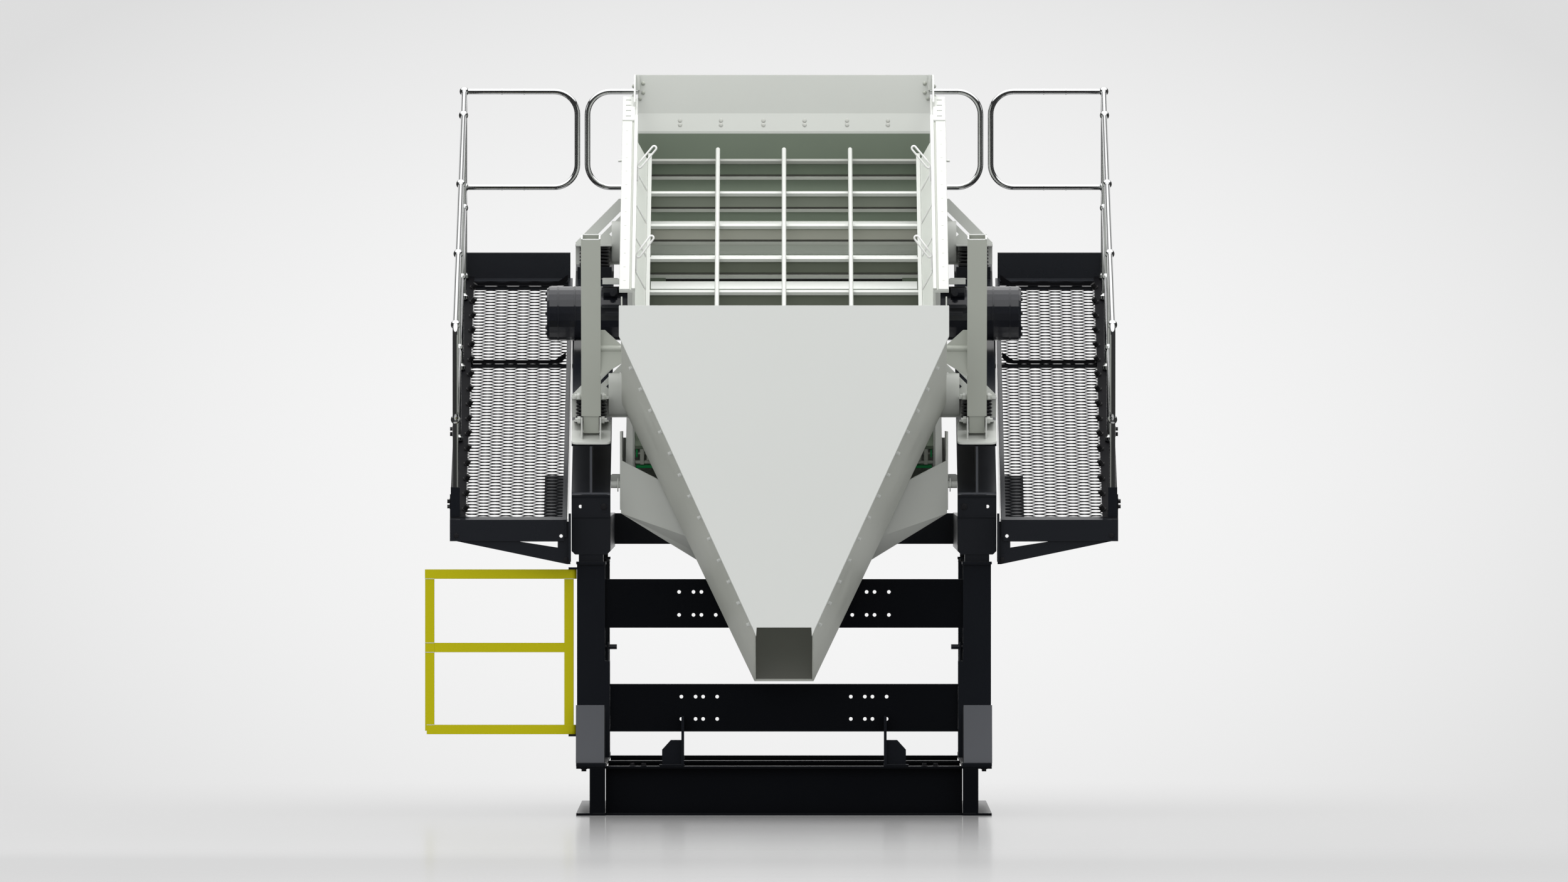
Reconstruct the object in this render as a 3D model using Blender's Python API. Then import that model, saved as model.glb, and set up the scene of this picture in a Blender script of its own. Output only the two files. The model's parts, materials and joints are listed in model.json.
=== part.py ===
"""An inclined vibrating screen module on its support frame, modelled piece by piece.

Metres, +Z up, X across the deck, Y along it. The material runs down the slope towards -Y,
where the height-adjustable discharge chute hangs. The origin is on the ground, under the
middle cross beam of the base. Left is -X.
"""

import math

import bmesh
import bpy
from mathutils import Matrix, Vector

# ---- driving dimensions ----
GAP = 0.0003                # clearance between pieces that touch
SLOPE = math.radians(18.0)  # inclination of the decks, slope beams and walkways
RISE = math.tan(SLOPE)

GAUGE = 1.10                # half distance between the two side frames
BASE_HALF = 2.25            # half length of the skid
BASE_HEIGHT = 0.281
FLANGE = 0.167
LEG_WIDTH = 0.16
LEG_BACK = 1.94             # inner face of the legs along Y
LEG_FRONT = 2.10            # outer face of the legs along Y
LEG_TOP = 1.445
CHORD_BOTTOM = 1.486
CHORD_TOP = 1.703
CHORD_WIDTH = 0.222
BEAM_DEPTH = 0.291          # slope beam, measured upright
BEAM_FRONT_TOP = 2.118      # its top edge at the front face
BEAM_REAR = 1.30

DECK_IN = 1.237             # walkway, inner and outer edge
DECK_OUT = 1.903
DECK_FRONT = -2.25
DECK_REAR = 2.03
DECK_FRONT_TOP = 1.686
RAIL_X = 1.871
RAIL_RADIUS = 0.0168
BALL_RADIUS = 0.028
RAIL_PITCH = 1.26
RAIL_HIGH = 1.09
RAIL_MID = 0.55
REAR_POST_X = 0.80          # uprights of the rear portal and the rear handrail's posts on them
REAR_POST_Y = 2.00
REAR_POST_FOOT = 3.10

BOX_HALF = 0.865            # vibrating box, outer face of the side plates
BOX_PLATE = 0.012
BOX_LENGTH = 3.66
BOX_HEIGHT = 1.07
BOX_FRONT = -2.05           # top front corner of the box
BOX_FRONT_TOP = 2.99
MEMBER_PITCH = 0.6235
FIRST_MEMBER = 0.29
SPRING_Y = (-1.82, 0.90)    # front and rear spring rows
SPRING_SEAT = 2.253         # top of the front spring seats
SPRING_LENGTH = 0.1184
SPRING_RADIUS = 0.092

SPLICE_FRONT = 0.98         # front end of the plates that join the feed box to the side plates
MOTOR_Y = -0.43
MOTOR_Z = 2.863
MOTOR_RADIUS = 0.156
MOTOR_END = 1.365

CHUTE_HALF = 0.925
CHUTE_OUTLET_HALF = 0.168
CHUTE_SHEET = 0.008
CHUTE_TRAVEL = 0.30
SLEEVE_FOOT_Y = -2.00
SLEEVE_FOOT_Z = 2.289
SLEEVE_LENGTH = 1.055
SLEEVE_WIDTH = 0.111
SLEEVE_DEPTH = 0.10
TUBE_WIDTH = 0.088
TUBE_DEPTH = 0.078

GATE_AXIS = (-1.2065, -2.05)
GATE_LEFT = -2.047
GATE_RIGHT = -1.199
GATE_BOTTOM = 0.4617
GATE_TOP = 1.401
GATE_BAR = 0.0535
GATE_DEPTH = 0.05

SIDES = (("left", -1), ("right", 1))


# ---- scene and materials ----
def clear_scene():
    for obj in list(bpy.data.objects):
        bpy.data.objects.remove(obj, do_unlink=True)


def finish(name, colour, roughness, metallic=0.0):
    material = bpy.data.materials.new(name)
    material.use_nodes = True
    shader = material.node_tree.nodes["Principled BSDF"]
    shader.inputs["Base Color"].default_value = (*colour, 1.0)
    shader.inputs["Roughness"].default_value = roughness
    shader.inputs["Metallic"].default_value = metallic
    material.diffuse_color = (*colour, 1.0)
    return material


# ---- solids: each is a bmesh holding one closed shape ----
def prism(outline, axis, low, high):
    """A flat outline pushed along an axis: (y, z) along x, (x, z) along y, (x, y) along z."""
    place = {
        "x": lambda a, b, c: (c, a, b),
        "y": lambda a, b, c: (a, c, b),
        "z": lambda a, b, c: (a, b, c),
    }[axis]
    bm = bmesh.new()
    face = bm.faces.new([bm.verts.new(place(a, b, low)) for a, b in outline])
    offset = Vector(place(0, 0, high - low))
    moved = bmesh.ops.extrude_face_region(bm, geom=[face])["geom"]
    bmesh.ops.translate(bm, verts=[v for v in moved if isinstance(v, bmesh.types.BMVert)], vec=offset)
    bmesh.ops.recalc_face_normals(bm, faces=bm.faces)
    return bm


def box(x0, x1, y0, y1, z0, z1):
    low, high = sorted((x0, x1))
    return prism([(y0, z0), (y1, z0), (y1, z1), (y0, z1)], "x", low, high)


def rod(start, end, radius, sides=12, end_radius=None):
    """A straight round bar, or a cone where end_radius differs."""
    start, end = Vector(start), Vector(end)
    run = end - start
    bm = bmesh.new()
    bmesh.ops.create_cone(
        bm, cap_ends=True, segments=sides, radius1=radius,
        radius2=radius if end_radius is None else end_radius, depth=run.length,
    )
    turn = Vector((0, 0, 1)).rotation_difference(run).to_matrix().to_4x4()
    bmesh.ops.transform(bm, matrix=Matrix.Translation((start + end) / 2) @ turn, verts=bm.verts)
    return bm


def ball(centre, radius, across=8, down=5):
    bm = bmesh.new()
    bmesh.ops.create_uvsphere(bm, u_segments=across, v_segments=down, radius=radius)
    # turned off the axes, so that its edges never run along those of the tubes through it
    place = Matrix.Translation(centre) @ Matrix.Rotation(0.37, 4, (0.6, 0.5, 0.62))
    bmesh.ops.transform(bm, matrix=place, verts=bm.verts)
    return bm


def sweep(points, radius, normal, sides=8, closed=False):
    """A round tube bent along points that lie in the plane with this normal."""
    points = [Vector(p) for p in points]
    if closed:
        points.pop()
    count = len(points)
    normal = Vector(normal).normalized()
    bm = bmesh.new()
    rings = []
    for i, point in enumerate(points):
        ahead = points[(i + 1) % count if closed else min(i + 1, count - 1)] - point
        behind = point - points[i - 1 if closed else max(i - 1, 0)]
        along = (ahead.normalized() + behind.normalized()).normalized()
        across = along.cross(normal)
        ring = []
        for k in range(sides):
            angle = math.tau * k / sides
            ring.append(bm.verts.new(point + radius * (math.cos(angle) * normal + math.sin(angle) * across)))
        rings.append(ring)
    if closed:
        rings.append(rings[0])
    for one, two in zip(rings, rings[1:]):
        for k in range(sides):
            j = (k + 1) % sides
            bm.faces.new((one[k], one[j], two[j], two[k]))
    if not closed:
        bm.faces.new(rings[0])
        bm.faces.new(rings[-1])
    bmesh.ops.recalc_face_normals(bm, faces=bm.faces)
    return bm


def turned(profile, centre, sides=16):
    """A solid of revolution about an upright axis: profile is (radius, height) from top to bottom."""
    bm = bmesh.new()
    rings = []
    for radius, height in profile:
        rings.append([
            bm.verts.new((
                centre[0] + radius * math.cos(math.tau * k / sides),
                centre[1] + radius * math.sin(math.tau * k / sides),
                height,
            ))
            for k in range(sides)
        ])
    for one, two in zip(rings, rings[1:]):
        for k in range(sides):
            j = (k + 1) % sides
            bm.faces.new((one[k], one[j], two[j], two[k]))
    bm.faces.new(rings[0])
    bm.faces.new(rings[-1])
    bmesh.ops.recalc_face_normals(bm, faces=bm.faces)
    return bm


def shell(corners, faces, thickness):
    """A folded sheet given its corners and panels, thickened to its inner side."""
    bm = bmesh.new()
    verts = [bm.verts.new(c) for c in corners]
    for face in faces:
        bm.faces.new([verts[i] for i in face])
    bmesh.ops.recalc_face_normals(bm, faces=bm.faces)
    mesh = bpy.data.meshes.new("sheet")
    bm.to_mesh(mesh)
    bm.free()
    sheet = bpy.data.objects.new("sheet", mesh)
    bpy.context.collection.objects.link(sheet)
    solidify = sheet.modifiers.new("thickness", "SOLIDIFY")
    solidify.thickness = thickness
    solidify.offset = -1.0
    solidify.use_even_offset = True
    solidify.use_quality_normals = True
    result = bmesh.new()
    result.from_object(sheet, bpy.context.evaluated_depsgraph_get())
    bpy.data.objects.remove(sheet, do_unlink=True)
    bmesh.ops.recalc_face_normals(result, faces=result.faces)
    return result


def lean(bm, y0):
    """Shears a solid so that what is level becomes parallel to the slope, fixed at y0."""
    for vert in bm.verts:
        vert.co.z += RISE * (vert.co.y - y0)
    return bm


def tilt(bm):
    """Turns a solid drawn level, x across, y up the slope, z square to it, into the box's place."""
    place = Matrix.Translation((0, BOX_FRONT, BOX_FRONT_TOP)) @ Matrix.Rotation(SLOPE, 4, "X")
    bmesh.ops.transform(bm, matrix=place, verts=bm.verts)
    return bm


def arc(centre, radius, start, end, steps):
    """Points on an arc, angles in degrees."""
    angles = [math.radians(start + (end - start) * i / steps) for i in range(steps + 1)]
    return [(centre[0] + radius * math.cos(a), centre[1] + radius * math.sin(a)) for a in angles]


def i_outline(centre, low, high, width, flange, web):
    """An I section in a plane across the beam, as (x, z) points."""
    w, t = width / 2, web / 2
    half = [(w, low), (w, low + flange), (t, low + flange), (t, high - flange), (w, high - flange), (w, high)]
    return [(centre + x, z) for x, z in half] + [(centre - x, z) for x, z in reversed(half)]


# ---- turning solids into named objects ----
def temporary(bm, collection):
    mesh = bpy.data.meshes.new("operand")
    bm.to_mesh(mesh)
    bm.free()
    obj = bpy.data.objects.new("operand", mesh)
    collection.objects.link(obj)
    return obj


def boolean(target, operation, solids):
    """Joins solids to the target, or cuts them out of it."""
    operands = bpy.data.collections.new("operands")
    bpy.context.scene.collection.children.link(operands)
    for solid in solids:
        temporary(solid, operands)
    step = target.modifiers.new(operation.lower(), "BOOLEAN")
    step.operation = operation
    step.solver = "EXACT"
    step.operand_type = "COLLECTION"
    step.collection = operands
    result = bpy.data.meshes.new_from_object(target.evaluated_get(bpy.context.evaluated_depsgraph_get()))
    target.modifiers.clear()
    target.data = result
    for obj in list(operands.objects):
        bpy.data.objects.remove(obj, do_unlink=True)
    bpy.data.collections.remove(operands)


def piece(name, solids, material, cuts=(), origin=(0, 0, 0), parent=None):
    """One named sub-part: solids fused into one body, cuts taken away, origin on its joint."""
    obj = temporary(solids[0], bpy.context.scene.collection)
    obj.name = name
    if len(solids) > 1:
        boolean(obj, "UNION", solids[1:])
    if cuts:
        boolean(obj, "DIFFERENCE", cuts)
    obj.data.name = name
    obj.data.transform(Matrix.Translation(-Vector(origin)))
    obj.data.materials.clear()
    obj.data.materials.append(material)
    obj.data.shade_smooth()
    obj.data.set_sharp_from_angle(angle=math.radians(32))
    if parent is None:
        obj.location = origin
    else:
        obj.parent = parent
        obj.location = Vector(origin) - parent.location
    return obj


def pivot(name, place):
    empty = bpy.data.objects.new(name, None)
    bpy.context.scene.collection.objects.link(empty)
    empty.location = place
    return empty


# ---- base module ----
def base_frame(paint):
    for side, s in SIDES:
        outline = i_outline(s * GAUGE, 0.0, BASE_HEIGHT, FLANGE, 0.014, 0.014)
        end_plate = box(s * 1.018, s * GAUGE, -BASE_HALF + 0.001, -BASE_HALF + 0.012, 0.007, BASE_HEIGHT - 0.007)
        piece(f"base_beam_{side}", [prism(outline, "y", -BASE_HALF, BASE_HALF), end_plate], paint)
    reach = GAUGE - FLANGE / 2 - GAP
    for place, y in (("front", -2.10), ("middle", 0.0), ("rear", 2.10)):
        outline = i_outline(y, 0.0, BASE_HEIGHT, 0.15, 0.012, 0.012)
        piece(f"base_cross_{place}", [prism(outline, "x", -reach, reach)], paint)


def leg_solids(s, f):
    """A column with its sloping haunch, foot plate and head plate; f is -1 at the front."""
    x0, x1 = s * (GAUGE - LEG_WIDTH / 2), s * (GAUGE + LEG_WIDTH / 2)
    outer, inner = f * LEG_FRONT, f * LEG_BACK
    flange, web = 0.013, 0.006
    solids = [
        box(x0, x1, *sorted((outer, outer - f * flange)), 0.29, 1.44),
        box(x0, x1, *sorted((inner, inner + f * flange)), 0.29, 1.44),
        box(s * (GAUGE - web), s * (GAUGE + web), -2.095 if f < 0 else 1.945, -1.945 if f < 0 else 2.095, 0.29, 1.44),
        box(s * 1.0155, s * 1.1845, *sorted((f * 1.90, f * 2.235)), BASE_HEIGHT + GAP, 0.30),
        box(s * 1.0155, s * 1.1845, *sorted((f * 1.90, f * 2.12)), 1.43, LEG_TOP),
    ]
    haunch = [(f * 2.09, 0.295), (f * 2.21, 0.295), (f * 2.10, 0.62), (f * 2.09, 0.62)]
    solids.append(prism(haunch, "x", *sorted((x0, x1))))
    return solids


def legs(paint):
    for side, s in SIDES:
        front = leg_solids(s, -1)
        front += [
            box(s * 0.992, s * 1.03, -2.10, -1.94, 0.33, 0.88),
            rod((s * 0.953, -2.03, 0.96), (s * 1.03, -2.03, 0.96), 0.0148, 10),
            box(s * 1.000, s * 1.010, -2.05, -2.01, 0.87, 0.985),
        ]
        if s < 0:
            x, y = GATE_AXIS
            for z in (GATE_BOTTOM - 0.0123, GATE_TOP + GAP):
                front.append(box(x - 0.022, -1.17, -LEG_FRONT + 0.005, y + 0.02, z, z + 0.012))
        piece(f"leg_front_{side}", front, paint)
        piece(f"leg_rear_{side}", leg_solids(s, 1), paint)


def ties(paint):
    reach = GAUGE - LEG_WIDTH / 2 - GAP
    rows = (
        ("upper", 1.0686, 1.3457, reach, (0.389, 0.471, 0.516, 0.598), (1.142, 1.273)),
        ("lower", 0.477, 0.748, 0.992 - GAP, (0.381, 0.461, 0.504, 0.585), (0.549, 0.676)),
    )
    for name, low, high, half, columns, heights in rows:
        web, flange = 0.010, 0.012
        outline = [
            (-2.08, low), (-1.98, low), (-1.98, low + flange), (-2.08 + web, low + flange),
            (-2.08 + web, high - flange), (-1.98, high - flange), (-1.98, high), (-2.08, high),
        ]
        holes = [
            rod((s * x, -2.10, z), (s * x, -2.05, z), 0.0105, 10)
            for x in columns for z in heights for s in (-1, 1)
        ]
        piece(f"tie_front_{name}", [prism(outline, "x", -half, half)], paint, cuts=holes)
    for name, low in (("upper", 1.12), ("lower", 0.51)):
        piece(f"tie_rear_{name}", [box(-reach, reach, 1.97, 2.07, low, low + 0.10)], paint)
    for side, s in SIDES:
        run = LEG_BACK - GAP
        piece(f"tie_side_{side}", [box(s * 1.05, s * 1.15, -run, run, 0.86, 0.96)], paint)


def saddles(paint):
    """Brackets on the front cross beam that would hold a conveyor's frame."""
    foot = BASE_HEIGHT + GAP
    for side, s in SIDES:
        wing = [(s * 0.580, foot), (s * 0.695, foot), (s * 0.695, 0.375), (s * 0.645, 0.430), (s * 0.580, 0.430)]
        piece(f"saddle_{side}", [
            box(s * 0.569, s * 0.585, -2.165, -2.085, foot, 0.566),
            prism(wing, "y", -2.131, -2.119),
            box(s * 0.568, s * 0.71, -2.160, -2.090, foot, 0.291),
        ], paint)


# ---- upper frame ----
def beam_top(y):
    return BEAM_FRONT_TOP + RISE * (y + LEG_FRONT)


def upper_frame(paint):
    half = CHORD_WIDTH / 2
    for side, s in SIDES:
        centre = s * GAUGE
        chord = [
            (centre - half + 0.02, CHORD_BOTTOM), (centre + half - 0.02, CHORD_BOTTOM),
            (centre + half, CHORD_BOTTOM + 0.02), (centre + half, CHORD_TOP),
            (centre - half, CHORD_TOP), (centre - half, CHORD_BOTTOM + 0.02),
        ]
        under = -BEAM_DEPTH - GAP
        wedge = [
            (-2.095, CHORD_TOP - 0.01), (-0.9, CHORD_TOP - 0.01),
            (-0.9, beam_top(-0.9) + under), (-2.095, beam_top(-2.095) + under),
        ]
        solids = [
            prism(chord, "y", -LEG_FRONT, LEG_FRONT),
            prism(wedge, "x", centre - 0.006, centre + 0.006),
            box(centre - half, centre + half, -2.10, -2.088, CHORD_TOP - 0.01, beam_top(-2.10) + under),
        ]
        for f in (-1, 1):
            solids.append(box(centre - 0.07, centre + 0.07, *sorted((f * 1.93, f * 2.095)), LEG_TOP + GAP, 1.50))
        holes = [rod((s * x, -2.12, 1.760), (s * x, -2.07, 1.760), 0.010, 10) for x in (1.027, 1.160)]
        piece(f"chord_{side}", solids, paint, cuts=holes)

        low = BEAM_FRONT_TOP - BEAM_DEPTH
        section = i_outline(centre, low, BEAM_FRONT_TOP, CHORD_WIDTH, 0.0145, 0.012)
        beam = lean(prism(section, "y", -LEG_FRONT, BEAM_REAR), -LEG_FRONT)
        rear = SPRING_Y[1]
        seat_top = SPRING_SEAT + RISE * (rear - SPRING_Y[0])
        seat = box(centre - 0.10, centre + 0.10, rear - 0.092, rear + 0.092, beam_top(rear) - 0.035, seat_top)
        piece(f"slope_beam_{side}", [beam, seat], paint)

        for place, y in (("middle", 0.0), ("rear", 1.20)):
            foot, y0, y1 = CHORD_TOP + GAP, y - 0.07, y + 0.07
            head = [(y0, foot), (y1, foot), (y1, beam_top(y1) + under), (y0, beam_top(y0) + under)]
            core = [prism(head, "x", centre - 0.004, centre + 0.004)]
            for face in (y0, y1 - 0.01):
                top = beam_top(face) + under
                core.append(box(centre - 0.07, centre + 0.07, face, face + 0.01, foot, top))
            core.append(box(centre - 0.07, centre + 0.07, y0, y1, foot, foot + 0.012))
            piece(f"post_{place}_{side}", core, paint)
    reach = GAUGE - half - GAP
    # the rear portal: a cross beam between the chords with two uprights that carry the rear handrail
    portal = [box(-reach, reach, 1.95, 2.05, 1.52, 1.70), box(-0.80, 0.80, 1.98, 2.02, 3.02, 3.08)]
    for s in (-1, 1):
        x = s * REAR_POST_X
        portal.append(box(x - 0.025, x + 0.025, 1.96, 2.04, 1.69, REAR_POST_FOOT - 0.005))
        portal.append(box(x - 0.05, x + 0.05, 1.95, 2.05, REAR_POST_FOOT - 0.012, REAR_POST_FOOT))
    piece("upper_cross_rear", portal, paint)


# ---- walkways and handrails ----
def deck_top(y):
    return DECK_FRONT_TOP + RISE * (y - DECK_FRONT)


def walkways(paint, mesh_steel):
    for side, s in SIDES:
        def level(x0, x1, y0, y1, low, high):
            solid = box(s * x0, s * x1, y0, y1, DECK_FRONT_TOP + low, DECK_FRONT_TOP + high)
            return lean(solid, DECK_FRONT)

        depth = 0.1235
        solids = [
            level(1.843, DECK_OUT, DECK_FRONT + 0.001, DECK_REAR - 0.001, -depth, 0.0),
            level(1.814, DECK_OUT - 0.001, DECK_FRONT + 0.002, DECK_REAR - 0.005, -0.0001, 0.008),
            level(DECK_IN, 1.262, DECK_FRONT + 0.001, DECK_REAR - 0.001, -0.10, -0.0005),
            level(1.25, 1.87, DECK_FRONT, -2.20, -depth + 0.001, -0.001),
            level(1.25, 1.87, 1.98, DECK_REAR, -0.030, -0.001),
            level(1.25, DECK_OUT - 0.002, 2.018, DECK_REAR - 0.002, -0.01, 0.15),
            level(1.25, 1.368, DECK_FRONT + 0.002, -1.45, -0.0165, -0.0125),
        ]
        wing = [(s * 1.216, -0.259), (s * 1.235, -0.259), (s * 1.9015, -depth + 0.003), (s * 1.9015, -0.06),
                (s * 1.25, -0.016), (s * 1.216, -0.016)]
        for y, inner, top in ((-2.235, None, 0.03), (0.53, 1.216, 0.32), (1.93, 1.25, None)):
            crossbar = [(s * (inner or 1.25), -0.040), (s * 1.87, -0.040), (s * 1.87, -0.0165),
                        (s * (inner or 1.25), -0.0165)]
            outline = [(x, z + deck_top(y)) for x, z in (crossbar if inner else wing)]
            solids.append(prism(outline, "y", y - 0.006, y + 0.006))
            if top:  # bolting plate against the slope beam
                low = deck_top(y) - 0.245
                solids.append(box(s * 1.2133, s * 1.226, y - 0.05, y + 0.05, low, deck_top(y) + top))
        slot = [(s * 1.504, 1.561), (s * 1.289, 1.561), (s * 1.289, 1.527)]
        cuts = [
            rod((s * 1.2696, -2.26, 1.5925), (s * 1.2696, -2.19, 1.5925), 0.010, 10),
            prism(slot, "y", -2.26, -2.21),
        ]
        piece(f"walkway_frame_{side}", solids, paint, cuts=cuts)
        grating = level(1.2625, 1.8427, -2.1997, 1.9797, -0.012, -GAP)
        piece(f"walkway_grating_{side}", [grating], mesh_steel)


def rounded_corner(points, radius, steps=4):
    """Replaces each inner point of an open path by an arc of this radius."""
    points = [Vector(p) for p in points]
    path = [points[0]]
    for before, corner, after in zip(points, points[1:], points[2:]):
        into, out = (corner - before).normalized(), (after - corner).normalized()
        half = math.acos(max(-1.0, min(1.0, into.dot(out)))) / 2
        back = radius * math.tan(half)
        centre = corner + (out - into).normalized() * (radius / math.cos(half))
        start, end = corner - into * back, corner + out * back
        for i in range(steps + 1):
            ray = (start - centre).lerp(end - centre, i / steps)
            path.append(centre + ray.normalized() * radius)
    path.append(points[-1])
    return path


def handrails(chrome):
    front = -2.19
    places = [front + RAIL_PITCH * k for k in range(4)]
    rear = 1.97
    high, mid = deck_top(rear) + RAIL_HIGH + 0.02, deck_top(rear) + RAIL_MID
    for side, s in SIDES:
        x = s * RAIL_X
        solids = []
        nose = front - 0.055
        loop = [
            (x, rear, high), (x, places[-1], deck_top(places[-1]) + RAIL_HIGH), (x, nose, deck_top(nose) + RAIL_HIGH),
            (x, nose, deck_top(nose) + RAIL_MID), (x, rear, mid),
        ]
        solids.append(sweep(rounded_corner(loop, 0.06, 3), RAIL_RADIUS, (1, 0, 0)))
        for y in places + [rear]:
            top = high if y == rear else deck_top(y) + RAIL_HIGH
            solids.append(rod((x, y, deck_top(y) + 0.014), (x, y, top), RAIL_RADIUS, 8))
            solids.append(rod((x, y, deck_top(y) + 0.0187), (x, y, deck_top(y) + 0.045), 0.028, 8))
            for z in (top, mid if y == rear else deck_top(y) + RAIL_MID):
                solids.append(ball((x, y, z), BALL_RADIUS))
        hoop = [(x, rear, high), (s * 1.209, rear, high), (s * 1.209, rear, mid), (x, rear, mid)]
        solids.append(sweep(rounded_corner(hoop, 0.135, 5), RAIL_RADIUS, (0, 1, 0)))
        piece(f"handrail_{side}", solids, chrome)

    back, half = REAR_POST_Y, 1.150
    ring = [(0.0, back, high), (half, back, high), (half, back, mid),
            (-half, back, mid), (-half, back, high), (0.0, back, high)]
    solids = [sweep(rounded_corner(ring, 0.135, 5), RAIL_RADIUS, (0, 1, 0), closed=True)]
    for s in (-1, 0, 1):
        x = s * REAR_POST_X
        solids.append(ball((x, back, high), BALL_RADIUS))
        solids.append(ball((x, back, mid), BALL_RADIUS))
        if s:
            foot = REAR_POST_FOOT + GAP
            solids.append(rod((x, back, foot), (x, back, high), RAIL_RADIUS, 8))
            solids.append(rod((x, back, foot), (x, back, foot + 0.03), 0.030, 8))
        else:
            solids.append(rod((x, back, mid), (x, back, high), RAIL_RADIUS, 8))
    piece("handrail_rear", solids, chrome)


# ---- springs and pedestals ----
def pedestals(paint):
    """The sloping plate on each slope beam that carries a front spring and a chute post."""
    for side, s in SIDES:
        centre = s * GAUGE
        half, corner, y0, y1 = 0.112, 0.03, -2.115, -1.725
        outline = arc((centre - half + corner, y0 + corner), corner, 180, 270, 3)
        outline += arc((centre + half - corner, y0 + corner), corner, 270, 360, 3)
        outline += [(centre + half, y1), (centre - half, y1)]
        low = BEAM_FRONT_TOP + GAP
        plate = lean(prism(outline, "z", low, low + 0.011), -LEG_FRONT)
        seat_y = SPRING_Y[0]
        solids = [
            plate,
            box(centre - 0.10, centre + 0.10, seat_y - 0.092, seat_y + 0.092, beam_top(seat_y) + 0.033, SPRING_SEAT),
        ]
        for x in (1.0470, 1.1530):
            ear = [(-2.06, beam_top(-2.06) + 0.005), (-1.945, beam_top(-1.945) + 0.005), (-1.945, 2.233)]
            ear += arc((-1.98, 2.233), 0.035, 0, 90, 3) + [(-2.06, 2.268)]
            solids.append(prism(ear, "x", *sorted((s * (x - 0.0045), s * (x + 0.0045)))))
        piece(f"pedestal_{side}", solids, paint)


def spring_solid(x, y, low):
    """A coil spring's outer shape: a waist between each pair of turns."""
    turns = 5
    pitch = SPRING_LENGTH / turns
    profile = []
    for i in range(turns):
        top = low + SPRING_LENGTH - i * pitch
        profile += [(SPRING_RADIUS - 0.008, top), (SPRING_RADIUS, top - pitch / 2)]
    profile.append((SPRING_RADIUS - 0.008, low))
    return turned(profile, (x, y), 14)


def springs(black):
    for place, y in zip(("front", "rear"), SPRING_Y):
        low = SPRING_SEAT + RISE * (y - SPRING_Y[0]) + GAP
        for side, s in SIDES:
            foot = (s * GAUGE, y, low)
            piece(f"spring_{place}_{side}", [spring_solid(s * GAUGE, y, low)], black, origin=foot)


# ---- vibrating box ----
def spring_bracket(s, y):
    """A slotted gusset behind the spring, and the seat that rests on it."""
    lift_z = RISE * (y - SPRING_Y[0])
    top = SPRING_SEAT + SPRING_LENGTH + 2 * GAP + lift_z
    inner = BOX_HALF - 0.006
    outline = [
        (s * inner, 2.267 + lift_z), (s * 1.212, 2.267 + lift_z), (s * 1.212, 2.396 + lift_z),
        (s * 0.960, 2.650 + lift_z), (s * inner, 2.650 + lift_z),
    ]
    face = y + 0.098
    solids = [
        prism(outline, "y", face, face + 0.012),
        box(s * 1.00, s * 1.212, y - 0.092, face + 0.006, top, top + 0.012),
    ]
    cuts = []
    for low_x, low_z, high_x, high_z in ((1.077, 2.437, 0.93, 2.584), (1.010, 2.438, 0.93, 2.518)):
        w = 0.006
        slit = [(s * (low_x - w), low_z - w), (s * (low_x + w), low_z + w),
                (s * (high_x + w), high_z + w), (s * (high_x - w), high_z - w)]
        cuts.append(prism([(x, z + lift_z) for x, z in slit], "y", face - 0.05, face + 0.05))
    return solids, cuts


def side_plates(paint, screen):
    for side, s in SIDES:
        inner, outer = s * (BOX_HALF - BOX_PLATE), s * BOX_HALF
        outline = [(0.0, 0.0), (BOX_LENGTH, 0.0), (BOX_LENGTH, -0.92), (3.50, -BOX_HEIGHT), (0.0, -BOX_HEIGHT)]
        solids = [
            tilt(prism(outline, "x", *sorted((inner, outer)))),
            tilt(box(s * 0.855, s * 0.94, 0.0, 3.25, -0.012, 0.004)),
            tilt(box(s * 0.860, s * 0.905, 0.02, 3.45, -BOX_HEIGHT - 0.004, -BOX_HEIGHT + 0.008)),
        ]
        # motor bracket: a mounting pad against the plate, and a ledge above the motor
        solids.append(box(s * 0.860, s * 0.900, MOTOR_Y - 0.19, MOTOR_Y + 0.19, MOTOR_Z - 0.15, MOTOR_Z + 0.20))
        ledge = MOTOR_Z + MOTOR_RADIUS + 0.012
        solids.append(box(s * 0.890, s * 1.045, MOTOR_Y - 0.15, MOTOR_Y + 0.15, ledge, ledge + 0.03))
        cuts = []
        for y in SPRING_Y:
            more, slits = spring_bracket(s, y)
            solids += more
            cuts += slits
        piece(f"side_plate_{side}", solids, paint, cuts=cuts, origin=screen.location, parent=screen)


def decks(paint, cloth, screen):
    inside = BOX_HALF - BOX_PLATE - GAP
    top = -0.296
    solids = []
    for k in range(6):
        u = FIRST_MEMBER + MEMBER_PITCH * k
        solids.append(tilt(box(-inside, inside, u - 0.02, u + 0.02, top - 0.12, top)))
    for s in (-1, 1):
        solids.append(tilt(box(s * 0.770, s * 0.792, 0.02, 3.44, top - 0.03, top + 0.03)))
    for x in (-0.385, 0.0, 0.385):
        bar = rod((x, 0.01, top + 0.004), (x, 3.45, top + 0.054), 0.013, 8)
        solids.append(tilt(bar))
    piece("deck_upper", solids, paint, origin=screen.location, parent=screen)

    base = -0.93
    solids = [tilt(box(-inside, inside, 0.0, 3.56, base - 0.02, base))]
    for k in range(6):
        u = FIRST_MEMBER + MEMBER_PITCH * k
        solids.append(tilt(box(-inside + 0.004, inside - 0.004, u - 0.03, u + 0.03, base - 0.11, base - 0.01)))
    piece("deck_lower", solids, cloth, origin=screen.location, parent=screen)


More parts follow.
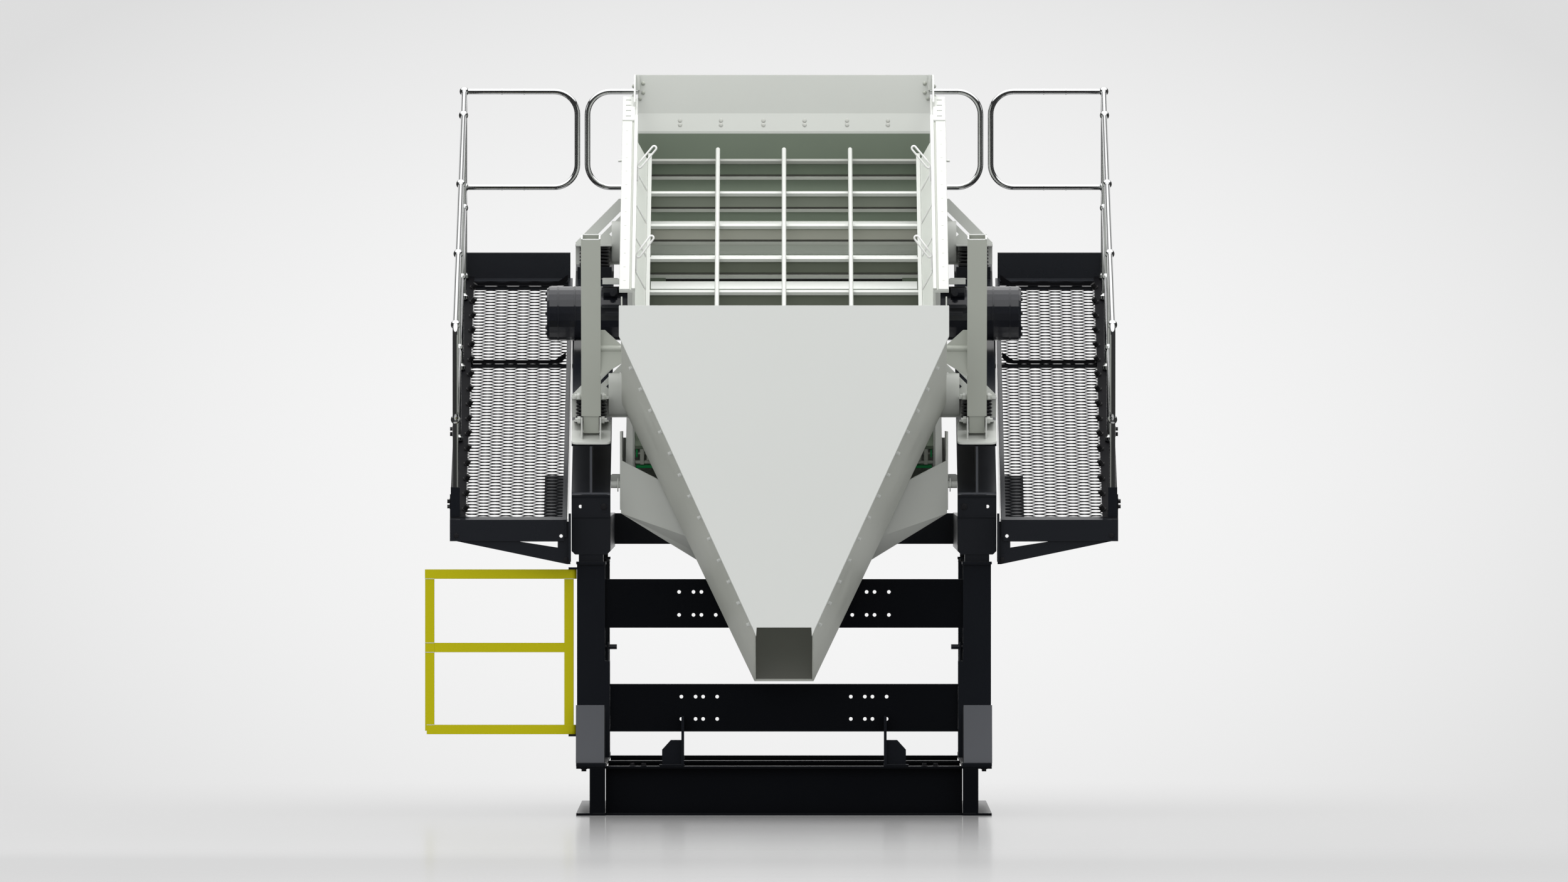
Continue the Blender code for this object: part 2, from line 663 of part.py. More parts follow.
def cross_tubes(paint, screen):
    """Two round tubes that tie the side plates together at the spring brackets."""
    inside = BOX_HALF - BOX_PLATE - GAP
    rear_shift = SPRING_Y[1] - SPRING_Y[0]
    for name, y, z in (("front", -1.60, 2.420), ("rear", -1.60 + rear_shift, 2.420 + RISE * rear_shift)):
        tube = rod((-inside, y, z), (inside, y, z), 0.10, 16)
        piece(f"cross_tube_{name}", [tube], paint, origin=screen.location, parent=screen)


def feed_box(paint, screen):
    """The receiving box at the high end: back wall with its steep lip, cheeks, slotted flanges."""
    inside = BOX_HALF - BOX_PLATE - GAP
    t = 0.012
    fold = [(1.632, 4.261), (1.632 - t, 4.261), (1.620, 4.036), (1.600, 3.932), (1.644, 3.215),
            (1.644 + t, 3.215), (1.613, 3.930), (1.632, 4.034)]
    solids = [prism(fold, "x", -inside, inside)]
    for s in (-1, 1):
        cheek = [(1.22, 4.055), (1.632, 4.165), (1.632, 4.261), (1.56, 4.261), (1.22, 4.10)]
        solids.append(prism(cheek, "x", *sorted((s * (BOX_HALF + GAP), s * (BOX_HALF + 0.010)))))
        solids.append(box(s * (inside - 0.01), s * (BOX_HALF + 0.008), 1.56, 1.632, 4.17, 4.261))
        splice = box(s * 0.867, s * 0.938, SPLICE_FRONT, SPLICE_FRONT + 0.43, 3.981, 3.993)
        solids.append(lean(splice, SPLICE_FRONT))
    cuts = []
    for s in (-1, 1):
        for k in range(4):
            y = SPLICE_FRONT + 0.07 + 0.098 * k
            slot = box(s * 0.890, s * 0.920, y - 0.009, y + 0.009, 3.95, 4.03)
            cuts.append(lean(slot, SPLICE_FRONT))
    piece("feed_box", solids, paint, cuts=cuts, origin=screen.location, parent=screen)


def motors(dark, steel, screen):
    mount = 0.900 + GAP
    for side, s in SIDES:
        axis = (MOTOR_Y, MOTOR_Z)
        barrel = rod((s * mount, *axis), (s * 1.300, *axis), MOTOR_RADIUS, 24)
        lug = [(MOTOR_Y - 0.05, MOTOR_Z + 0.10), (MOTOR_Y - 0.155, MOTOR_Z + 0.10),
               (MOTOR_Y - 0.175, MOTOR_Z + 0.12), (MOTOR_Y - 0.175, MOTOR_Z + 0.145), (MOTOR_Y - 0.05, MOTOR_Z + 0.145)]
        eye = prism(lug, "x", *sorted((s * 0.96, s * 1.04)))
        bore = rod((s * 0.930, *axis), (s * 1.32, *axis), MOTOR_RADIUS - 0.014, 24)
        piece(f"motor_housing_{side}", [barrel, eye], dark, cuts=[bore], origin=screen.location, parent=screen)

        disc = rod((s * (1.300 + GAP), *axis), (s * 1.352, *axis), MOTOR_RADIUS, 24)
        cap = rod((s * 1.345, *axis), (s * MOTOR_END, *axis), MOTOR_RADIUS, 24, MOTOR_RADIUS - 0.012)
        piece(f"motor_cover_{side}", [disc, cap], dark, origin=screen.location, parent=screen)

        spin = pivot(f"rotor_axis_{side}", (s * 1.10, *axis))
        shaft = rod((s * 0.935, *axis), (s * 1.295, *axis), 0.032, 12)
        solids = [shaft]
        for x in (0.96, 1.21):
            weight = [(MOTOR_Y, MOTOR_Z)] + arc(axis, 0.128, 200, 340, 10)
            solids.append(prism(weight, "x", *sorted((s * x, s * (x + 0.06)))))
        piece(f"rotor_{side}", solids, steel, origin=spin.location, parent=spin)


# ---- chutes ----
def discharge_chute(sheet, side_sheet, chute):
    front_top, front_knee, front_low = (-2.85, 2.904), (-2.874, 2.73), (-3.106, 1.08)
    back_top, back_knee, back_low = (-1.915, 2.42), (-1.924, 2.346), (-2.33, 0.767)
    w, v = CHUTE_HALF, CHUTE_OUTLET_HALF
    corners, faces = [], []
    for s in (-1, 1):
        corners += [
            (s * w, front_top[0], front_top[1] + 0.05), (s * w, *front_knee), (s * v, *front_low),
            (s * w, *back_top), (s * w, *back_knee), (s * v, *back_low),
        ]
    for i in (0, 6):
        faces += [(i, i + 1, i + 4, i + 3), (i + 1, i + 2, i + 5, i + 4)]
    faces += [(3, 4, 10, 9), (4, 5, 11, 10)]
    body = shell(corners, faces, CHUTE_SHEET)
    piece("chute_body", [body], side_sheet, origin=chute.location, parent=chute)

    lean_back = (front_top[0] - front_low[0]) / (front_top[1] - front_low[1])

    def plate_y(z):
        return front_low[0] + lean_back * (z - front_low[1])

    drop = 0.05
    half = [(w + 0.010, front_top[1]), (w + 0.010, front_knee[1]), (v + 0.010, front_low[1])]
    tab = [(v - 0.010, front_low[1] - drop), (v - 0.013, front_low[1])]
    outline = half + tab + [(-x, z) for x, z in reversed(tab)]
    outline += [(-x, z) for x, z in reversed(half)]
    bm = prism(outline, "y", -0.006, 0.0)
    for vert in bm.verts:
        vert.co.y += plate_y(vert.co.z) - 0.012
    lips = []
    for s in (-1, 1):
        hem = box(s * (w + 0.002), s * (w + 0.010), -0.03, -0.003, front_knee[1], front_top[1] - 0.002)
        for vert in hem.verts:
            vert.co.y += plate_y(vert.co.z) + 0.012
        lips.append(hem)
    piece("chute_front_plate", [bm] + lips, sheet, origin=chute.location, parent=chute)


def chute_posts(sheet, frame_sheet, chute):
    """Inner tubes stand on the pedestals; the chute's sleeves slide on them."""
    along = Vector((0, -math.sin(SLOPE), math.cos(SLOPE)))

    def stand(bm, x, distance):
        """Turns an upright solid drawn about the origin onto the post's axis."""
        foot = Vector((x, SLEEVE_FOOT_Y, SLEEVE_FOOT_Z)) + along * distance
        matrix = Matrix.Translation(foot) @ Matrix.Rotation(SLOPE, 4, "X")
        bmesh.ops.transform(bm, matrix=matrix, verts=bm.verts)
        return bm

    for side, s in SIDES:
        x = s * GAUGE
        wide, deep = TUBE_WIDTH / 2, TUBE_DEPTH / 2
        inner = stand(box(-wide, wide, -deep, deep, -0.105, 0.62), x, 0.0)
        solids = [inner]
        pin_centre = (SLEEVE_FOOT_Y + 0.012, SLEEVE_FOOT_Z - 0.036)
        for direction in (-1, 1):
            start, end = x + direction * (TUBE_WIDTH / 2 - 0.01), x + direction * (TUBE_WIDTH / 2 + 0.0035 - GAP)
            solids.append(rod((start, *pin_centre), (end, *pin_centre), 0.015, 10))
        piece(f"post_tube_{side}", solids, frame_sheet)

        wide, deep = SLEEVE_WIDTH / 2, SLEEVE_DEPTH / 2
        bore_w, bore_d = TUBE_WIDTH / 2 + 0.001, TUBE_DEPTH / 2 + 0.001
        sleeve = stand(box(-wide, wide, -deep, deep, 0.0, SLEEVE_LENGTH), x, 0.0)
        bore = stand(box(-bore_w, bore_w, -bore_d, bore_d, -0.1, SLEEVE_LENGTH + 0.1), x, 0.0)
        solids = [sleeve]
        for direction in (-1, 1):
            start, end = direction * (wide - 0.003), direction * (wide + 0.030)
            solids.append(stand(rod((start, 0, 0.10), (end, 0, 0.10), 0.016, 10), x, 0.0))
        near = s * (GAUGE - wide + 0.003)
        far = s * (CHUTE_HALF + GAP)
        gusset = [(near, 2.766), (s * 1.021, 2.766), (far, 2.680), (far, 2.575), (near, 2.50)]
        depth = SLEEVE_FOOT_Y - math.tan(SLOPE) * (2.66 - SLEEVE_FOOT_Z)
        solids.append(prism(gusset, "y", depth - 0.006, depth + 0.006))
        solids.append(rod((far, depth, 2.660), (near, depth, 2.660), 0.018, 10))
        piece(f"post_sleeve_{side}", solids, sheet, cuts=[bore], origin=chute.location, parent=chute)


def hopper(sheet):
    """The fixed hopper under the box, with a notched front wall, hung from the slope beams."""
    front, back, w, v = -1.95, -0.80, 0.93, 0.25
    rings = [
        [(-w, front, 2.02), (-0.30, front, 1.70), (0.30, front, 1.70), (w, front, 2.02),
         (w, back, 2.15), (0.30, back, 2.15), (-0.30, back, 2.15), (-w, back, 2.15)],
        [(-w, front, 1.72), (-0.30, front, 1.50), (0.30, front, 1.50), (w, front, 1.72),
         (w, back, 1.72), (0.30, back, 1.72), (-0.30, back, 1.72), (-w, back, 1.72)],
        [(-v, -1.70, 1.30), (-0.12, -1.70, 1.30), (0.12, -1.70, 1.30), (v, -1.70, 1.30),
         (v, -1.20, 1.30), (0.12, -1.20, 1.30), (-0.12, -1.20, 1.30), (-v, -1.20, 1.30)],
    ]
    corners = [point for ring in rings for point in ring]
    faces = []
    for base in (0, 8):
        for k in range(8):
            j = (k + 1) % 8
            faces.append((base + k, base + j, base + 8 + j, base + 8 + k))
    solids = [shell(corners, faces, 0.008)]
    for s in (-1, 1):
        cheek = [(front, 1.74), (back, 1.74), (back, 2.187), (front, 2.187)]
        solids.append(prism(cheek, "x", *sorted((s * (w - 0.006), s * (w + 0.006)))))
        hanger_end = s * (GAUGE - CHORD_WIDTH / 2 - GAP)
        for y in (-1.85, -0.95):
            solids.append(box(s * w, hanger_end, y, y + 0.05, 1.88, 1.94))
    piece("hopper", solids, sheet)


def gate(yellow):
    x, y = GATE_AXIS
    pin = pivot("gate_hinge", (x, y, GATE_BOTTOM))
    y0, y1 = y - GATE_DEPTH / 2, y + GATE_DEPTH / 2
    radius = GATE_DEPTH / 2
    solids = []
    for low in (GATE_BOTTOM, GATE_TOP - GATE_BAR):
        left = GATE_LEFT if low > 1 else GATE_LEFT + 0.010
        eye = arc((x, y), radius, -90, 90, 6)
        solids.append(prism([(left, y1), (left, y0)] + eye, "z", low, low + GATE_BAR))
    solids += [
        box(GATE_LEFT + 0.001, GATE_LEFT + GATE_BAR, y0 + 0.001, y1 - 0.001, GATE_BOTTOM + 0.02, GATE_TOP - 0.02),
        box(GATE_RIGHT - GATE_BAR, GATE_RIGHT, y0 + 0.001, y1 - 0.001, GATE_BOTTOM + 0.02, GATE_TOP - 0.02),
        box(GATE_LEFT + 0.02, GATE_RIGHT - 0.02, y0 + 0.002, y1 - 0.002, 0.929, 0.9825),
    ]
    piece("gate", solids, yellow, origin=pin.location, parent=pin)


def main():
    clear_scene()
    frame_paint = finish("frame_paint", (0.012, 0.014, 0.018), 0.45)
    mesh_steel = finish("walkway_steel", (0.02, 0.02, 0.022), 0.5, 0.2)
    chrome = finish("rail_chrome", (0.62, 0.63, 0.62), 0.12, 1.0)
    box_paint = finish("box_paint", (0.56, 0.58, 0.54), 0.45)
    deck_paint = finish("deck_paint", (0.18, 0.23, 0.18), 0.6)
    chute_paint = finish("chute_paint", (0.60, 0.62, 0.59), 0.35)
    post_paint = finish("post_paint", (0.33, 0.35, 0.31), 0.4)
    spring_black = finish("spring_black", (0.01, 0.01, 0.012), 0.4)
    motor_paint = finish("motor_paint", (0.015, 0.017, 0.022), 0.25)
    rotor_steel = finish("rotor_steel", (0.45, 0.45, 0.45), 0.35, 1.0)
    gate_yellow = finish("gate_yellow", (0.45, 0.41, 0.01), 0.4)

    base_frame(frame_paint)
    legs(frame_paint)
    ties(frame_paint)
    saddles(frame_paint)
    upper_frame(frame_paint)
    walkways(frame_paint, mesh_steel)
    handrails(chrome)
    pedestals(box_paint)
    springs(spring_black)
    hopper(chute_paint)

    screen = pivot("screen_suspension", (0.0, BOX_FRONT, BOX_FRONT_TOP))
    side_plates(box_paint, screen)
    decks(box_paint, deck_paint, screen)
    cross_tubes(box_paint, screen)
    feed_box(box_paint, screen)
    motors(motor_paint, rotor_steel, screen)

    chute = pivot("chute_slide", (0.0, SLEEVE_FOOT_Y, SLEEVE_FOOT_Z))
    discharge_chute(chute_paint, post_paint, chute)
    chute_posts(post_paint, post_paint, chute)
    gate(gate_yellow)


main()
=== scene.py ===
"""Looks of an inclined vibrating screen module, laid out as a Blender add-on.

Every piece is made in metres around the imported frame: X across the deck, the slope rises
towards +Y, +Z is up and left is -X. Pieces sit at the origin with their place in their mesh.
"""

import json
import math

import bmesh
import bpy
from bpy.props import FloatProperty, FloatVectorProperty, IntProperty, PointerProperty
from mathutils import Matrix, Vector


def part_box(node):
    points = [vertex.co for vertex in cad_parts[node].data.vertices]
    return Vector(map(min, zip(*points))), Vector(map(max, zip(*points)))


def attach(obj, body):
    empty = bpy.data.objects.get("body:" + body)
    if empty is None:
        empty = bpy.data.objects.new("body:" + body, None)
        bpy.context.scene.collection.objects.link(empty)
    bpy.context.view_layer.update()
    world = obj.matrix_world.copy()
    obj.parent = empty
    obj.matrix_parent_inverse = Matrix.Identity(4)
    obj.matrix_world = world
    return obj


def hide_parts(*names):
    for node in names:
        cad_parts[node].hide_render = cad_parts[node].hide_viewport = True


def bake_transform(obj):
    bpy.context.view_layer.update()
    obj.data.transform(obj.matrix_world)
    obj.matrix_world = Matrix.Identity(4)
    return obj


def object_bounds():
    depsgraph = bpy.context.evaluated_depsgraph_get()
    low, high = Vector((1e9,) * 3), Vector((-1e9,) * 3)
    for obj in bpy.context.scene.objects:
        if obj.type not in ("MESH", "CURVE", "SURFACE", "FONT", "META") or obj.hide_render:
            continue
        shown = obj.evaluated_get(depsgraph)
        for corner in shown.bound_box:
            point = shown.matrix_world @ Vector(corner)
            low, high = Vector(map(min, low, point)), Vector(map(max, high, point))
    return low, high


bl_info = {
    "name": "Screening Module Looks",
    "version": (1, 0, 0),
    "blender": (4, 5, 0),
    "location": "3D View > Sidebar > Screening Module",
    "description": "Finishes, fasteners, gratings, springs and rails of an inclined vibrating screen",
    "category": "Object",
}

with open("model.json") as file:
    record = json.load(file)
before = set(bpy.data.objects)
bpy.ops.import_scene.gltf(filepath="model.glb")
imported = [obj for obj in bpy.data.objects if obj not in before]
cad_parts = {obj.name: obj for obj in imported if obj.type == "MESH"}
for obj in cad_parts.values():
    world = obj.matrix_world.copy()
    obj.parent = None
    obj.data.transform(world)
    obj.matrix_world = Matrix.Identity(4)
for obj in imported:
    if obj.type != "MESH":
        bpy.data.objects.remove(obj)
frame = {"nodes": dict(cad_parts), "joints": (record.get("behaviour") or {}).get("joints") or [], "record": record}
CAD_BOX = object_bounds()


# ---- places read from the frame ----
def joint_named(name):
    return next(joint for joint in frame["joints"] if joint["name"] == name)


SIDES = (("left", -1), ("right", 1))
BOTH = (-1, 1)
SLOPE = math.asin(-joint_named("chute_lift")["axis"][1])
RISE = math.tan(SLOPE)
TILT = Matrix.Rotation(SLOPE, 4, "X")
TO_BOX = Matrix.Translation(Vector(joint_named("screen_bounce")["pos_m"])) @ TILT
POST_FOOT = Vector(joint_named("chute_lift")["pos_m"])
GATE_PIN = Vector(joint_named("gate_swing")["pos_m"])
GRATE_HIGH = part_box("walkway_grating_right")[1]
BEAM_LOW, BEAM_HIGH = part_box("slope_beam_right")
GAUGE = (BEAM_LOW.x + BEAM_HIGH.x) / 2
SHEET_GAP = 0.0003
BEAM_DEPTH = 0.291
SIDE_PLATE_IN = 0.853
MEMBER_PITCH = 0.6235
FIRST_MEMBER = 0.29
MEMBERS = 6
UPPER_DECK = -0.296         # top of the upper deck's members in the box's frame
LOWER_DECK = -0.93
DECK_LENGTH = 3.44
RAIL_HIGH, RAIL_MID = 1.09, 0.55  # heights of the handrail's tubes above the walkway


def deck_top(y):
    """Height of the walkway's floor."""
    return GRATE_HIGH.z + SHEET_GAP + RISE * (y - GRATE_HIGH.y)


def beam_top(y):
    """Height of the slope beams' top flange."""
    return BEAM_LOW.z + BEAM_DEPTH + RISE * (y - BEAM_LOW.y)


# ---- settings a user would change ----
def colour_property(name, description, default):
    return FloatVectorProperty(
        name=name, description=description, subtype="COLOR", size=3, min=0.0, max=1.0, default=default
    )


def length_property(name, description, default):
    return FloatProperty(name=name, description=description, unit="LENGTH", min=0.0, default=default)


class ModulePaints(bpy.types.PropertyGroup):
    """Colours of the finishes."""

    frame_black: colour_property("Frame black", "Paint of the skid, legs and beams", (0.0072, 0.0085, 0.0115))
    box_grey: colour_property("Box grey", "Paint of the vibrating box", (0.50, 0.515, 0.487))
    deck_green: colour_property("Deck green", "Lining of the lower deck", (0.115, 0.150, 0.105))
    wall_green: colour_property("Wall green", "Lining of the feed box's back wall", (0.128, 0.158, 0.118))
    chute_grey: colour_property("Chute grey", "Paint of the chute's front", (0.565, 0.58, 0.56))
    post_grey: colour_property("Post grey", "Paint of the posts", (0.370, 0.388, 0.345))
    # painted shade: the chute's sides are a darker grey than its front because they face down
    side_grey: colour_property("Side grey", "Paint of the chute's sides", (0.440, 0.455, 0.415))
    motor_blue: colour_property("Motor blue-black", "Paint of the unbalance motors", (0.010, 0.011, 0.015))
    gate_yellow: colour_property("Gate yellow", "Paint of the gate", (0.420, 0.390, 0.002))
    liner_green: colour_property("Liner green", "Polyurethane strips under the deck", (0.0, 0.26, 0.065))


class ModuleSizes(bpy.types.PropertyGroup):
    """Sizes of the repeated parts."""

    mesh_long_way: length_property("Mesh long way", "Diamond of the walkway floor, across it", 0.129)
    mesh_short_way: length_property("Mesh short way", "Diamond of the walkway floor, up the slope", 0.0575)
    strand_width: length_property("Strand width", "Strand of the walkway floor", 0.0048)
    strand_depth: length_property("Strand depth", "Strand of the walkway floor", 0.0036)
    rail_radius: length_property("Rail radius", "Handrail tube", 0.0168)
    ball_radius: length_property("Ball radius", "Joints of the handrail", 0.028)
    spring_wire: length_property("Spring wire radius", "Wire of the coil springs", 0.0085)
    spring_turns: IntProperty(name="Spring turns", description="Turns of each coil spring", min=2, default=5)


# ---- node trees ----
FLOAT, INTEGER, COLOUR, VECTOR = "NodeSocketFloat", "NodeSocketInt", "NodeSocketColor", "NodeSocketVector"
GEOMETRY, MATERIAL = "NodeSocketGeometry", "NodeSocketMaterial"
STEEP = {"interpolation_type": "SMOOTHSTEP"}


class Graph:
    """A node tree under construction. Kinds without "Node" in their name take the tree's own family."""

    def __init__(self, tree, family="ShaderNode"):
        self.tree, self.family = tree, family

    def add(self, kind, inputs=None, **settings):
        """A node with its settings, and its sockets linked or filled."""
        node = self.tree.nodes.new(kind if "Node" in kind else self.family + kind)
        for name, value in settings.items():
            setattr(node, name, value)
        for name, value in (inputs or {}).items():
            if isinstance(value, bpy.types.NodeSocket):
                self.tree.links.new(value, node.inputs[name])
            else:
                node.inputs[name].default_value = value
        return node

    def out(self, kind, inputs=None, output=0, **settings):
        return self.add(kind, inputs, **settings).outputs[output]

    def calc(self, operation, first, second=None):
        inputs = {0: first} if second is None else {0: first, 1: second}
        return self.out("ShaderNodeMath", inputs, operation=operation)

    def remap(self, value, low, high, to_low=0.0, to_high=1.0, **settings):
        inputs = {"Value": value, "From Min": low, "From Max": high, "To Min": to_low, "To Max": to_high}
        return self.out("ShaderNodeMapRange", inputs, **settings)

    def noise(self, scale, detail, output="Fac", **inputs):
        place = inputs.pop("place", None) or self.out("TexCoord", output="Object")
        inputs = {"Vector": place, "Scale": scale, "Detail": detail, **inputs}
        return self.out("TexNoise", inputs, output)

    def spread_about(self, value, amount, middle):
        """A noise value, centred, scaled and laid about a middle."""
        return self.calc("ADD", self.calc("MULTIPLY", self.calc("SUBTRACT", value, 0.5), amount), middle)

    def link(self, values, node):
        for name, value in values.items():
            self.tree.links.new(value, node.inputs[name])


def new_group(name, tree_type, inputs, outputs):
    """A node group with named sockets: each is (name, socket type, default)."""
    group = bpy.data.node_groups.new(name, tree_type)
    for direction, sockets in (("INPUT", inputs), ("OUTPUT", outputs)):
        for label, kind, default in sockets:
            socket = group.interface.new_socket(name=label, in_out=direction, socket_type=kind)
            if default is not None:
                socket.default_value = default
    graph = Graph(group, tree_type.replace("NodeTree", "Node"))
    return graph, graph.add("NodeGroupInput").outputs, graph.add("NodeGroupOutput")


def paint_film_group():
    """Slow shifts of tone and gloss over a painted sheet, and its orange-peel height."""
    graph, given, end = new_group(
        "paint_film", "ShaderNodeTree",
        [("Colour", COLOUR, (0.5, 0.5, 0.5, 1.0)), ("Patch Scale", FLOAT, 1.5), ("Patch Depth", FLOAT, 0.04),
         ("Peel Scale", FLOAT, 90.0), ("Roughness", FLOAT, 0.4), ("Gloss Spread", FLOAT, 0.08)],
        [("Colour", COLOUR, None), ("Roughness", FLOAT, None), ("Height", FLOAT, None)],
    )
    patches = graph.noise(given["Patch Scale"], 4.0, Roughness=0.55)
    tone = graph.spread_about(patches, given["Patch Depth"], 1.0)
    graph.link({
        "Colour": graph.out("VectorMath", {0: given["Colour"], "Scale": tone}, operation="SCALE"),
        "Roughness": graph.spread_about(graph.noise(6.0, 5.0), given["Gloss Spread"], given["Roughness"]),
        "Height": graph.noise(given["Peel Scale"], 2.0),
    }, end)
    return graph.tree


def soft_edges_group():
    """The rounded normal of a rolled or deburred edge, and a mask of where it turns."""
    graph, given, end = new_group(
        "soft_edges", "ShaderNodeTree", [("Radius", FLOAT, 0.004)],
        [("Normal", VECTOR, None), ("Edge", FLOAT, None)],
    )
    bevel = graph.out("Bevel", {"Radius": given["Radius"]}, samples=4)
    flat = graph.out("NewGeometry", output="True Normal")
    facing = graph.out("VectorMath", {0: bevel, 1: flat}, "Value", operation="DOT_PRODUCT")
    graph.link({"Normal": bevel, "Edge": graph.remap(facing, 0.97, 0.75)}, end)
    return graph.tree


def settled_dust_group():
    """A thin dust on what faces up, broken by noise."""
    graph, given, end = new_group(
        "settled_dust", "ShaderNodeTree", [("Amount", FLOAT, 0.1), ("Scale", FLOAT, 5.0)],
        [("Mask", FLOAT, None)],
    )
    up = graph.out("SeparateXYZ", {0: graph.out("NewGeometry", output="Normal")}, "Z")
    broken = graph.calc("MULTIPLY", graph.remap(up, 0.6, 1.0), graph.noise(given["Scale"], 8.0))
    graph.link({"Mask": graph.calc("MULTIPLY", broken, given["Amount"])}, end)
    return graph.tree


def drawn_grain_group():
    """Fine streaks along X, as on drawn or brushed steel."""
    graph, given, end = new_group(
        "drawn_grain", "ShaderNodeTree",
        [("Scale", FLOAT, 60.0), ("Roughness", FLOAT, 0.2), ("Spread", FLOAT, 0.1)],
        [("Roughness", FLOAT, None), ("Height", FLOAT, None)],
    )
    place = graph.out("TexCoord", output="Object")
    stretched = graph.out("Mapping", {"Vector": place, "Scale": (0.05, 1.0, 1.0)})
    streaks = graph.noise(given["Scale"], 6.0, place=stretched)
    graph.link({
        "Roughness": graph.spread_about(streaks, given["Spread"], given["Roughness"]), "Height": streaks,
    }, end)
    return graph.tree


TREES = {}


def tree_named(name):
    """A node group of this file, built once by the function that carries its name."""
    makers = {
        "paint_film": paint_film_group, "soft_edges": soft_edges_group, "settled_dust": settled_dust_group,
        "drawn_grain": drawn_grain_group, "expanded_metal": expanded_metal_tree, "coil_spring": coil_spring_tree,
        "tube_run": tube_run_tree, "ball_joints": ball_joint_tree, "fasteners": fastener_tree,
    }
    if name not in TREES:
        TREES[name] = makers[name]()
    return TREES[name]


# ---- finishes ----
def new_material(name, colour):
    material = bpy.data.materials.new(name)
    material.use_nodes = True
    material.diffuse_color = (*colour, 1.0)
    tree = material.node_tree
    return material, Graph(tree), tree.nodes["Principled BSDF"]


def place_group(graph, name, values):
    node = graph.add("Group", node_tree=tree_named(name))
    for label, value in values.items():
        node.inputs[label].default_value = value
    return node.outputs


def painted(name, colour, roughness, edge_lift=0.35, edge_radius=0.004, patch=0.05, dust=0.08, bump=0.02,
            coat=0.0, specular=0.5, glow=0.0):
    """Sprayed paint on steel: tone patches, orange peel, edges lightened as a painted highlight, and a little
    dust.
    """
    material, graph, shader = new_material(name, colour)
    film = place_group(graph, "paint_film", {
        "Colour": (*colour, 1.0), "Patch Depth": patch, "Roughness": roughness, "Gloss Spread": roughness * 0.2,
    })
    edges = place_group(graph, "soft_edges", {"Radius": edge_radius})
    dusting = place_group(graph, "settled_dust", {"Amount": dust})
    # painted highlight: the colour is lightened where the edges turn
    highlight_colour = [min(1.0, c + edge_lift * (0.25 + 0.75 * c)) for c in colour]
    highlighted = graph.out("Mix", {
        "Factor": graph.calc("MULTIPLY", edges["Edge"], 0.8), "A": film["Colour"], "B": (*highlight_colour, 1.0),
    }, "Result", data_type="RGBA")
    dusty = graph.out("Mix", {
        "Factor": dusting["Mask"], "A": highlighted, "B": (0.55, 0.53, 0.48, 1.0),
    }, "Result", data_type="RGBA")
    peel = graph.out("Bump", {
        "Height": film["Height"], "Normal": edges["Normal"], "Strength": bump, "Distance": 0.002,
    })
    graph.link({"Base Color": dusty, "Roughness": film["Roughness"], "Normal": peel}, shader)
    shader.inputs["Coat Weight"].default_value = coat
    shader.inputs["Coat Roughness"].default_value = 0.08
    shader.inputs["Specular IOR Level"].default_value = specular
    if glow:  # light bounced about inside a pale box
        shader.inputs["Emission Color"].default_value = (*colour, 1.0)
        shader.inputs["Emission Strength"].default_value = glow
    return material


def bare_metal(name, colour, roughness, spread=0.05, bump=0.02):
    """Polished, plated or machined steel with a drawn grain."""
    material, graph, shader = new_material(name, colour)
    grain = place_group(graph, "drawn_grain", {"Roughness": roughness, "Spread": spread})
    film = place_group(graph, "paint_film", {"Colour": (*colour, 1.0), "Patch Depth": 0.04})
    scratch = graph.out("Bump", {"Height": grain["Height"], "Strength": bump, "Distance": 0.001})
    graph.link({"Base Color": film["Colour"], "Roughness": grain["Roughness"], "Normal": scratch}, shader)
    shader.inputs["Metallic"].default_value = 1.0
    return material


def sheet_metal(name, colour, roughness):
    """Glossy painted sheet with the slow dents of a welded chute."""
    material = painted(name, colour, roughness, edge_lift=0.5, edge_radius=0.006, patch=0.06, specular=0.3)
    graph, shader = Graph(material.node_tree), material.node_tree.nodes["Principled BSDF"]
    peel = shader.inputs["Normal"].links[0].from_socket
    dents = graph.noise(2.6, 1.0)
    wave = graph.out("Bump", {"Height": dents, "Normal": peel, "Strength": 0.5, "Distance": 0.05})
    graph.link({"Normal": wave}, shader)
    return material


